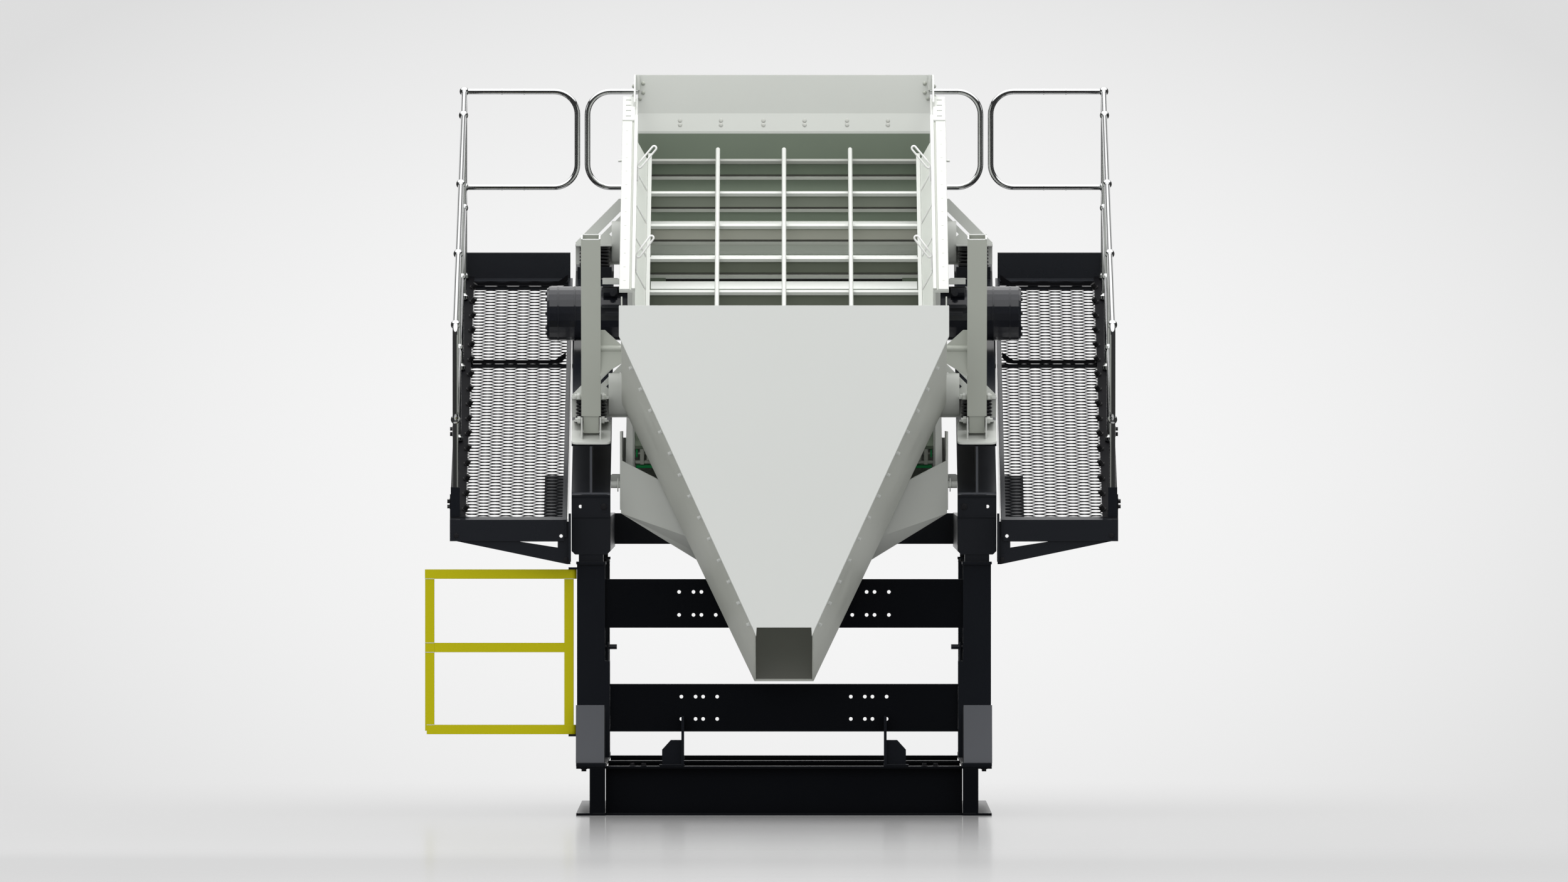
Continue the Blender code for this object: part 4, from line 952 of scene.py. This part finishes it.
class MakeHandrails(bpy.types.Operator):
    """Ball-jointed tube handrails, in place of the faceted ones"""

    bl_idname = "screen_module.handrails"
    bl_label = "Handrails"

    def execute(self, context):
        sizes, places, rear_lift = context.scene.module_sizes, stanchion_places(), 0.02
        rear = places[-1]
        high, mid = deck_top(rear) + RAIL_HIGH + rear_lift, deck_top(rear) + RAIL_MID
        hoop_x, hoop_bend, bend = 1.209, 0.135, 0.06
        for side, s in SIDES:
            x, nose = s * 1.871, places[0] - 0.055
            loop = [
                (x, rear, high), (x, places[-2], deck_top(places[-2]) + RAIL_HIGH),
                (x, nose, deck_top(nose) + RAIL_HIGH), (x, nose, deck_top(nose) + RAIL_MID), (x, rear, mid),
            ]
            hoop = [(x, rear, high), (s * hoop_x, rear, high), (s * hoop_x, rear, mid), (x, rear, mid)]
            paths = [(rounded_path(loop, bend), False), (rounded_path(hoop, hoop_bend, 12), False)]
            balls, collars = [], bmesh.new()
            for y in places:
                top, middle = (high, mid) if y == rear else (deck_top(y) + RAIL_HIGH, deck_top(y) + RAIL_MID)
                paths.append(([(x, y, deck_top(y) + 0.014), (x, y, top)], False))
                balls += [(x, y, top), (x, y, middle)]
                self.collar(collars, x, y, deck_top(y) + 0.0187, 0.028, 0.018)
            for ring in (1.65, 1.52):
                for z in (high, mid):
                    ends = [(s * (ring + reach), rear, z) for reach in (-0.004, 0.004)]
                    add_rod(collars, *ends, sizes.rail_radius + 0.0016)
            self.build(f"handrail_{side}", paths, balls, collars, sizes)

        back, half, foot, post_x = 2.00, 1.150, 3.1003, 0.80
        ring = [(0.0, back, high), (half, back, high), (half, back, mid),
                (-half, back, mid), (-half, back, high), (0.0, back, high)]
        paths = [(rounded_path(ring, hoop_bend, 12)[:-1], True)]
        balls, collars = [], bmesh.new()
        for x in (-post_x, 0.0, post_x):
            balls += [(x, back, high), (x, back, mid)]
            paths.append(([(x, back, foot if x else mid), (x, back, high)], False))
            if x:
                self.collar(collars, x, back, foot, 0.030, 0.020)
        self.build("handrail_rear", paths, balls, collars, sizes)
        return {"FINISHED"}

    def collar(self, bm, x, y, z, radius, height):
        """The stepped socket at an upright's foot."""
        profile = [(0.0, radius), (height, radius), (height + 0.008, 0.0205), (height + 0.016, 0.0185)]
        add_lathe(bm, profile, (x, y, z), (x, y, z + 0.1))

    def build(self, node, paths, balls, collars, sizes):
        steel = ("rail_chrome", "frame", "rail_chrome")
        tube = {"Radius": sizes.rail_radius, "Sides": 20}
        grow(f"{node}_tubes", "tube_run", mesh_of_paths(node, paths), tube, *steel, [node])
        grow(f"{node}_balls", "ball_joints", mesh_of_points(node, balls), {"Radius": sizes.ball_radius}, *steel)
        piece_from(collars, f"{node}_collars", *steel)


# ---- springs ----
class MakeSprings(bpy.types.Operator):
    """Coil springs between the frame and the vibrating box"""

    bl_idname = "screen_module.springs"
    bl_label = "Springs"

    def execute(self, context):
        sizes = context.scene.module_sizes
        for place in [f"{end}_{side}" for end in ("front", "rear") for side, _ in SIDES]:
            node = f"spring_{place}"
            low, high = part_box(node)
            foot = Vector(((low.x + high.x) / 2, (low.y + high.y) / 2, low.z))
            obj = grow(f"coil_{place}", "coil_spring", bpy.data.meshes.new(node), {
                "Turns": float(sizes.spring_turns), "Radius": (high.y - low.y) / 2 - sizes.spring_wire,
                "Height": high.z - low.z, "Wire": sizes.spring_wire, "Foot": foot,
            }, "spring_black", None, "spring_black", [node])
            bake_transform(obj)
        return {"FINISHED"}


# ---- vibrating box: x, u along the deck and w out of it are in the box's tilted frame ----
def member_places():
    return [FIRST_MEMBER + MEMBER_PITCH * k for k in range(MEMBERS)]


def add_deck_rod(bm, ends, radius):
    add_rod(bm, *(TO_BOX @ Vector(end) for end in ends), radius, 14)


class MakeUpperDeck(bpy.types.Operator):
    """Capped cross members, side rails and round grizzly bars of the upper deck, with painted light and shade on
    the webs, the last cap and the recesses
    """

    bl_idname = "screen_module.upper_deck"
    bl_label = "Upper deck"

    def execute(self, context):
        inside, top = SIDE_PLATE_IN - 0.0005, UPPER_DECK
        deck, shaded, recess_shade, last_cap = (bmesh.new() for _ in range(4))
        # painted light and shade: each member's web gets a darker or paler tone
        web_painted_shading = ("web_deep_painted_shade", "web_deep_painted_shade", "web_deep_painted_shade", "web_painted_light", "web_half_painted_shade", "wall_paint")
        for k, (u, tone) in enumerate(zip(member_places(), web_painted_shading)):
            web = bmesh.new()
            for bm, front, back, low, high in (
                (last_cap if k == MEMBERS - 1 else deck, -0.02, 0.02, -0.019, 0.0),
                (web, -0.004, 0.012, -0.088, -0.018),
                (recess_shade, 0.002, 0.012, -0.101, -0.088),
                (shaded, -0.012, 0.018, -0.1175, -0.101),
            ):
                add_box(bm, -inside, inside, u + front, u + back, top + low, top + high, TO_BOX)
            piece_from(web, f"deck_web_{k}", tone, "screen", "deck_paint")
        add_box_pair(deck, 0.770, 0.792, 0.02, DECK_LENGTH, top - 0.030, top + 0.030, matrix=TO_BOX)
        dome = [(0.0, 0.004), (0.004, 0.010), (0.011, 0.013)]
        bar = dome + [(DECK_LENGTH - d, r) for d, r in reversed(dome)]
        for x in (-0.385, 0.0, 0.385):
            start = TO_BOX @ Vector((x, 0.01, top + 0.004))
            add_lathe(deck, bar, start, TO_BOX @ Vector((x, 0.01 + DECK_LENGTH, top + 0.054)), 20)
        piece_from(deck, "upper_deck_frame", "box_paint", "screen", "box_paint", ["deck_upper"])
        # painted shade: the last cap, under the feed box's lip, in a darker grey
        piece_from(last_cap, "upper_deck_last_cap", "cap_painted_shade", "screen", "box_paint")
        piece_from(shaded, "upper_deck_flanges", "shade_grey", "screen", "box_paint")
        # painted shade: a dark strip in the recess between each web and its bottom flange
        piece_from(recess_shade, "upper_deck_seams", "painted_shade_dark", "screen", "deck_paint")
        return {"FINISHED"}


class MakeLiners(bpy.types.Operator):
    """Bevelled side liners with their ribs, and the loops that hold them"""

    bl_idname = "screen_module.liners"
    bl_label = "Side liners"

    def execute(self, context):
        bevels, ribs, paths = bmesh.new(), bmesh.new(), []
        wall = SIDE_PLATE_IN - 0.0006
        bevel = [(0.793, -0.262), (wall, -0.150), (wall, -0.160), (0.793, -0.272)]
        rib = [(0.794, -0.256), (wall - 0.001, -0.152), (wall - 0.001, -0.138), (0.794, -0.240)]
        for s in BOTH:
            add_prism(bevels, [(s * x, w) for x, w in bevel], "y", 0.03, 3.30, TO_BOX)
            for u in member_places()[:5]:
                add_prism(ribs, [(s * x, w) for x, w in rib], "y", u - 0.11, u - 0.10, TO_BOX)
            for y, tip, root in (
                (0.36, (0.744, 3.832), (0.848, 3.706)), (-1.24, (0.752, 3.3050), (0.846, 3.181)),
            ):
                paths.append((self.loop(s, y, Vector(tip), Vector(root)), True))
                paths.append(([(s * 0.8465, y, root[1] - 0.075), (s * 0.8465, y, root[1] + 0.004)], False))
        piece_from(bevels, "side_liners", "liner_pale", "screen", "box_paint")
        piece_from(ribs, "side_liner_ribs", "pale_trim_and_painted_highlight", "screen", "box_paint")
        grow("liner_loops", "tube_run", mesh_of_paths("liner_loops", paths), {
            "Radius": 0.0058, "Sides": 10,
        }, "pale_trim_and_painted_highlight", "screen", "box_paint")
        return {"FINISHED"}

    def loop(self, s, y, tip, root):
        """A long narrow ring from root to tip."""
        along = (tip - root).normalized()
        across = Vector((-along.y, along.x))
        half, steps = 0.0125, 8
        points = []
        for centre, turn in ((tip - along * half, 0.0), (root + along * half * 1.5, math.pi)):
            for i in range(steps + 1):
                angle = math.pi / 2 - math.pi * i / steps + turn
                ray = centre + (along * math.cos(angle) + across * math.sin(angle)) * half
                points.append((s * ray.x, y, ray.y))
        return points


class MakeBoxTrim(bpy.types.Operator):
    """Flange strips with their slots and a painted-shade strip in the groove between them, spring bosses, front
    strips and side studs of the vibrating box
    """

    bl_idname = "screen_module.box_trim"
    bl_label = "Vibrating box trim"

    def execute(self, context):
        strips, groove_shade_and_slots, bosses, green, grey = (bmesh.new() for _ in range(5))
        for bm, *sides in (
            (strips, 0.882, 0.9385, 0.004, 3.245, 0.0045, 0.009),
            (strips, 0.850, 0.870, 0.002, 3.30, 0.0045, 0.014),
            # painted shade: a darker strip in the groove between the flange strips
            (groove_shade_and_slots, 0.8702, 0.8818, 0.003, 3.24, 0.0042, 0.0052),
            (green, 0.836, 0.846, 0.003, 0.012, -1.00, -0.955),
            (grey, 0.800, 0.822, 0.004, 0.016, -1.045, -0.94),
            (grey, 0.770, 0.784, 0.004, 0.016, -1.02, -0.93),
        ):
            add_box_pair(bm, *sides, matrix=TO_BOX)
        for k in range(12):
            u = 0.16 + 0.2585 * k
            add_box_pair(groove_shade_and_slots, 0.905, 0.917, u - 0.003, u + 0.003, 0.0088, 0.0096, matrix=TO_BOX)
        add_box(green, -0.845, 0.845, 0.004, 0.030, -1.066, -1.052, TO_BOX)
        first_spring, rear_spring, boss_z = -1.7224, 0.9976, 2.398
        half_turn = [math.radians(-90 + 15 * i) for i in range(13)]
        for s in BOTH:
            for y in (first_spring, rear_spring):
                z = boss_z + RISE * (y - first_spring)
                arc = [(y - 0.058 * math.cos(a), z + 0.122 * math.sin(a)) for a in half_turn]
                add_prism(bosses, arc, "x", s * 0.8655, s * 1.002)
            add_rod(strips, (s * 0.9386, 0.31, 3.748), (s * 0.960, 0.31, 3.748), 0.007, 12)
            add_deck_rod(grey, [(s * x, 0.02, -1.035) for x in (0.74, 0.85)], 0.011)
            add_deck_rod(grey, [(s * x, 0.03, -0.985) for x in (0.70, 0.85)], 0.007)
        piece_from(strips, "flange_strips", "box_paint", "screen", "box_paint")
        piece_from(groove_shade_and_slots, "flange_slots", "post_paint", "screen", "box_paint")
        piece_from(bosses, "spring_bosses", "box_paint", "screen", "box_paint", smooth=40)
        piece_from(green, "deck_edge_strips", "liner_green", "screen", "deck_paint")
        piece_from(grey, "deck_clamps", "post_paint", "screen", "box_paint")
        return {"FINISHED"}


def back_wall(z):
    """Front face of the feed box's back wall at a height."""
    return 1.600 + (3.932 - z) * (1.644 - 1.600) / (3.932 - 3.215)


class MakeFeedBox(bpy.types.Operator):
    """Lined back wall, ledges, lower deck hold-downs and bolts of the feed box, with painted light and shadow
    inside it
    """

    bl_idname = "screen_module.feed_box"
    bl_label = "Feed box"

    def execute(self, context):
        wall, low_wall, band, pale, dark, heads, domes = (bmesh.new() for _ in range(7))
        top, seam, foot, reach, side = 3.918, 3.690, 3.226, 0.851, 0.775
        # painted light: the lower sheet is a paler copy of the wall lining and glows
        for bm, edge, proud, behind in ((wall, top, 0.004, 0.001), (low_wall, seam, 0.007, 0.0045)):
            corners = ((edge, proud), (edge, behind), (foot, behind), (foot, proud))
            add_prism(bm, [(back_wall(z) - gap, z) for z, gap in corners], "x", -reach, reach)
        for z in (3.676, 3.475, 3.3065):
            y = back_wall(z)
            add_box(wall, -reach, reach, y - 0.050, y - 0.002, z - 0.004, z + 0.006)
            # painted shadow: a dark strip under each ledge
            add_box(dark, -reach, reach, y - 0.046, y - 0.006, z - 0.013, z - 0.0045)
        y = back_wall(3.25)
        # painted light: a pale tilted band that glows
        band_outline = [(y - 0.130, 3.203), (y - 0.004, 3.277), (y - 0.004, 3.266), (y - 0.130, 3.192)]
        add_prism(band, band_outline, "x", -side, side)
        # painted light: the hold-downs glow
        add_box(pale, -side, side, 2.915, 3.052, LOWER_DECK + 0.001, LOWER_DECK + 0.005, TO_BOX)
        rod_reach = 0.688
        add_deck_rod(pale, [(x, 3.115, LOWER_DECK + 0.0090) for x in (-rod_reach, rod_reach)], 0.006)
        # a near-black strip on the lower deck between the hold-down and its rod
        add_box(dark, -rod_reach, rod_reach, 3.054, 3.108, LOWER_DECK + 0.001, LOWER_DECK + 0.003, TO_BOX)
        for s in BOTH:
            for x in (0.12, 0.368, 0.607):
                for z in (3.994, 3.969):
                    y = 1.6 + (z - 3.932) * 0.02 / 0.104 - 0.0002
                    self.dome(domes, (s * x, y, z), (0, -1, 0.19), 0.0125, 0.0035)
            for x, z in ((0.8220, 4.2110), (0.8220, 4.1575), (0.8400, 4.1220)):
                self.dome(heads, (s * x, 1.6198, z), (0, -1, 0), 0.0115, 0.009)
            for z in (4.193, 4.135):
                self.dome(heads, (s * 0.8756, 1.585, z), (s, 0, 0), 0.012, 0.012)
        piece_from(low_wall, "feed_wall_low", "wall_low_painted_light", "screen", "deck_paint")
        piece_from(band, "feed_wall_band", "band_painted_light", "screen", "box_paint")
        piece_from(wall, "feed_wall_lining", "wall_paint", "screen", "deck_paint")
        piece_from(pale, "deck_hold_downs", "hold_down_painted_light", "screen", "box_paint")
        piece_from(dark, "deck_slots", "shadow_and_slot_black", "screen", "deck_paint")
        piece_from(domes, "lip_bolts", "lip_bolt", "screen", "box_paint", smooth=50)
        piece_from(heads, "feed_box_bolts", "post_paint", "screen", "box_paint", smooth=50)
        return {"FINISHED"}

    def dome(self, bm, place, facing, radius, height):
        shape = ((0.0, 1.0), (0.45, 0.96), (0.8, 0.70), (1.0, 0.25))
        profile = [(height * up, radius * out) for up, out in shape]
        add_lathe(bm, profile, place, Vector(place) + Vector(facing).normalized(), 14)


# ---- discharge chute ----
CHUTE_KNEE, CHUTE_LOW = 2.73, 1.08  # heights where the front plate starts to narrow and ends


def chute_plate_y(z):
    """Front face of the discharge chute's front plate at a height."""
    return -3.106 + (z - CHUTE_LOW) * (3.106 - 2.85) / (2.904 - CHUTE_LOW) - 0.018


def chute_half(z):
    """Half width of the chute's front plate at a height."""
    return 0.935 + min(0.0, z - CHUTE_KNEE) * (0.935 - 0.178) / (CHUTE_KNEE - CHUTE_LOW)


class MakeChuteTrim(bpy.types.Operator):
    """Rolled edges, side bolts and painted shade in the outlet of the discharge chute, rims and pins of its posts
    """

    bl_idname = "screen_module.chute_trim"
    bl_label = "Discharge chute trim"

    def execute(self, context):
        paths, bolts = [], []
        corner, down = Vector((0.925, -2.874, 2.73)), Vector((-0.757, -0.232, -1.65))
        back = Vector((0.0, 0.95, -0.384))
        for s in BOTH:
            heights = (2.900, CHUTE_KNEE, 1.084)
            edge = [(s * (chute_half(z) - 0.003), chute_plate_y(z) + 0.004, z) for z in heights]
            paths.append((edge, False))
            for k in range(13):
                place = corner + down * (0.081 + 0.0734 * k) + back * 0.1155
                bolts.append((Vector((s * place.x, place.y, place.z)), (s * 0.906, -0.159, -0.393)))
        grow("chute_edges", "tube_run", mesh_of_paths("chute_edges", paths), {
            "Radius": 0.0048, "Sides": 10,
        }, "chute_paint", "chute", "chute_paint")
        paint = "chute_paint"
        add_fasteners("chute_bolts", bolts, 0.010, paint, "chute", paint, height=1.5, washer=1.3)
        self.lining()
        self.posts()
        return {"FINISHED"}

    def lining(self):
        """A dark sheet on the inside of the chute's back sheet, seen through its outlet: painted shade inside the
        chute.
        """
        lining = bmesh.new()
        low, high, narrow, flare = 0.781, 1.35, 0.166, 0.475
        half = [(narrow + flare * (z - low), z) for z in (low, high)]
        outline = half + [(-x, z) for x, z in reversed(half)]
        for vert in add_prism(lining, outline, "y", -0.0125, -0.0105):
            vert.co.y += -2.33 + (vert.co.z - 0.767) * 0.2571
        piece_from(lining, "outlet_lining", "painted_shade_dark", "chute", "chute_paint")

    def posts(self):
        """The open rims of the sleeves, and the pins through them."""
        rims, pins = bmesh.new(), bmesh.new()
        half, deep, wall, low, high = 0.0555, 0.050, 0.0095, 1.0555, 1.059
        for x in (-GAUGE, GAUGE):
            for x0, x1, y0, y1 in (
                (-half, half, -deep, -deep + wall), (-half, half, deep - wall, deep),
                (-half, -half + wall, -deep, deep), (half - wall, half, -deep, deep),
            ):
                add_box(rims, x + x0, x + x1, y0, y1, low, high, Matrix.Translation(POST_FOOT) @ TILT)
            add_pin(pins, x, -2.031, 2.3875, ((-0.094, -0.056), (0.056, 0.086)), (-0.080, 0.060), 0.016)
        piece_from(rims, "post_rims", "chute_paint", "chute", "post_paint")
        piece_from(pins, "post_pins", "box_paint", "chute", "post_paint")


# ---- skid, legs and chords ----
class MakeFrameTrim(bpy.types.Operator):
    """Bolts, clevis pins and packers of the skid, legs and chords, with grey panels and strips on the black frame
    as painted reflection and highlight
    """

    bl_idname = "screen_module.frame_trim"
    bl_label = "Frame trim"

    def execute(self, context):
        trim, pins, ends, haunch_sheen, bolts = *(bmesh.new() for _ in range(4)), []
        front = -2.1005
        low = beam_top(front) - BEAM_DEPTH
        add_box_pair(trim, 0.991, 1.209, front - 0.0035, front, 1.812, 1.822)
        add_box_pair(trim, 0.991, 1.209, front - 0.0030, front, 1.694, 1.7015)
        haunch = [(-2.2105, 0.300), (-2.2125, 0.300), (-2.1015, 0.628), (-2.0995, 0.628)]
        stub_y, stub_z = -1.93, 1.884
        for s in BOTH:
            x = s * GAUGE
            # painted highlight: grey strips for the web and bottom flange at the beam's front end
            add_box(ends, x - 0.0065, x + 0.0065, front - 0.0010, front + 0.0004, low + 0.012, low + 0.276)
            add_box(ends, x - 0.108, x + 0.108, front - 0.0010, front + 0.0004, low + 0.001, low + 0.012)
            # painted reflection: a grey sheet on the leg's sloping haunch face
            add_prism(haunch_sheen, haunch, "x", s * 1.024, s * 1.186)
            for place, facing in (
                ((1.027, front, 1.759), (0, -1, 0)),
                *(((bolt_x, -2.02, 1.446), (0, 0, 1)) for bolt_x in (1.010, 1.075, 1.140)),
                *(((1.14, y, 0.2665), (0, 0, -1)) for y in (-2.18, -2.12, 2.0)),
                ((0.864, -2.06, 0.2815), (0, 0, 1)), ((0.80, -2.12, 0.2815), (0, 0, 1)),
            ):
                bolts.append((Vector((s * place[0], *place[1:])), facing))
            add_pin(pins, x, -1.988, 2.253, ((-0.090, 0.090),), (-0.078, 0.058), 0.018)
            for inner, outer, radius, sides in ((0.9365, 0.988, 0.020, 18), (0.945, 0.951, 0.040, 24)):
                add_rod(pins, (s * inner, stub_y, stub_z), (s * outer, stub_y, stub_z), radius, sides)
        piece_from(trim, "frame_packers", "frame_paint", "frame", "frame_paint")
        piece_from(ends, "beam_ends", "black_frame_painted_sheen", "frame", "frame_paint")
        piece_from(haunch_sheen, "haunch_panels", "black_frame_painted_sheen", "frame", "frame_paint")
        piece_from(pins, "clevis_pins", "box_paint", "frame", "box_paint")
        add_fasteners("frame_bolts", bolts, 0.014, "bolt_black", "frame", "frame_paint", height=0.9)
        return {"FINISHED"}


class MakeMotorTrim(bpy.types.Operator):
    """Bands, lifting eye rings, junction boxes and cover bolts of the unbalance motors, with pale strips on their
    tops as painted highlights
    """

    bl_idname = "screen_module.motor_trim"
    bl_label = "Motor trim"

    def execute(self, context):
        dark, pale, bolts = bmesh.new(), bmesh.new(), []
        y, z, barrel, circle, width = -0.43, 2.863, 0.156, 0.115, 0.010
        inner, outer = barrel - 0.006, barrel + 0.0015
        band = [(0.0, inner), (0.0, outer), (width, outer), (width, inner)]
        for s in BOTH:
            for x in (1.20, 1.296):
                add_lathe(dark, band, (s * x, y, z), (s * (x + 0.1), y, z), 64, ring_shaped=True)
            eye = [(s * 0.985, y - away, z + 0.116) for away in (0.1752, 0.3)]
            add_lathe(dark, [(0.0, 0.017), (0.006, 0.017)], *eye, 20)
            # painted highlight: a pale strip along the top of the motor's barrel
            top_highlight = [(s * 0.948, 3.0615), (s * 0.960, 3.068), (s * 1.04, 3.068), (s * 1.053, 3.0615)]
            add_prism(pale, top_highlight, "y", y - 0.15, y + 0.12)
            for angle in (math.tau * k / 8 for k in range(8)):
                place = Vector((s * 1.3655, y + circle * math.cos(angle), z + circle * math.sin(angle)))
                bolts.append((place, (s, 0, 0)))
        add_box_pair(dark, 0.94, 1.05, y - 0.168, y - 0.150, z + 0.030, z + 0.052)
        add_box_pair(dark, 0.915, 1.03, y - 0.172, y - 0.152, z - 0.015, z + 0.010)
        piece_from(dark, "motor_bands", "motor_paint", "screen", "motor_paint", smooth=25)
        piece_from(pale, "motor_crowns", "box_paint", "screen", "box_paint")
        add_fasteners("motor_cover_bolts", bolts, 0.010, "bolt_black", "screen", "motor_paint")
        return {"FINISHED"}


class MakeGateTrim(bpy.types.Operator):
    """Pale lines at the gate's mitres as painted highlights, and the gate's hinge pins"""

    bl_idname = "screen_module.gate_trim"
    bl_label = "Gate trim"

    def execute(self, context):
        lines, pins = bmesh.new(), bmesh.new()
        front, left, bar, top, foot = -2.0755, -2.047, 0.0535, 1.401, 0.4617
        # painted highlight: pale lines along the gate's mitres and bar edges
        for x0, x1, z in (
            (left, left + bar, top - bar), (left, left + bar, 0.9825), (left, left + bar, 0.929),
            (left + 0.010, left + bar, foot + bar), (-1.2535, -1.199, top - bar),
        ):
            add_box(lines, x0, x1, front, front + 0.0006, z - 0.0018, z + 0.0018)
        for z in (GATE_PIN.z - 0.012, top):
            add_rod(pins, (GATE_PIN.x, GATE_PIN.y, z), (GATE_PIN.x, GATE_PIN.y, z + 0.012), 0.011, 16)
        piece_from(lines, "gate_weld_lines", "chute_paint", "gate", "gate_yellow")
        piece_from(pins, "gate_pins", "bolt_black", "gate", "gate_yellow")
        return {"FINISHED"}


OPERATORS = [
    MakeStage, PaintSolids, MakeGratings, MakeWalkwayTrim, MakeHandrails, MakeSprings, MakeUpperDeck,
    MakeLiners, MakeBoxTrim, MakeFeedBox, MakeChuteTrim, MakeFrameTrim, MakeMotorTrim, MakeGateTrim,
]


class ScreenModulePanel(bpy.types.Panel):
    """Lists the makers of the screening module's pieces"""

    bl_idname = "VIEW3D_PT_screen_module"
    bl_label = "Screening Module"
    bl_space_type = "VIEW_3D"
    bl_region_type = "UI"
    bl_category = "Screening Module"

    def draw(self, context):
        layout = self.layout
        for operator in OPERATORS:
            layout.operator(operator.bl_idname)
        for group in (context.scene.module_paints, context.scene.module_sizes):
            box = layout.box()
            for name in group.__annotations__:
                box.prop(group, name)


CLASSES = [ModulePaints, ModuleSizes, *OPERATORS, ScreenModulePanel]


def register():
    for cls in CLASSES:
        bpy.utils.register_class(cls)
    bpy.types.Scene.module_paints = PointerProperty(type=ModulePaints)
    bpy.types.Scene.module_sizes = PointerProperty(type=ModuleSizes)


def unregister():
    del bpy.types.Scene.module_sizes
    del bpy.types.Scene.module_paints
    for cls in reversed(CLASSES):
        bpy.utils.unregister_class(cls)


def main():
    register()
    for operator in OPERATORS:
        namespace, name = operator.bl_idname.split(".")
        getattr(getattr(bpy.ops, namespace), name)()


if __name__ == "__main__":
    main()
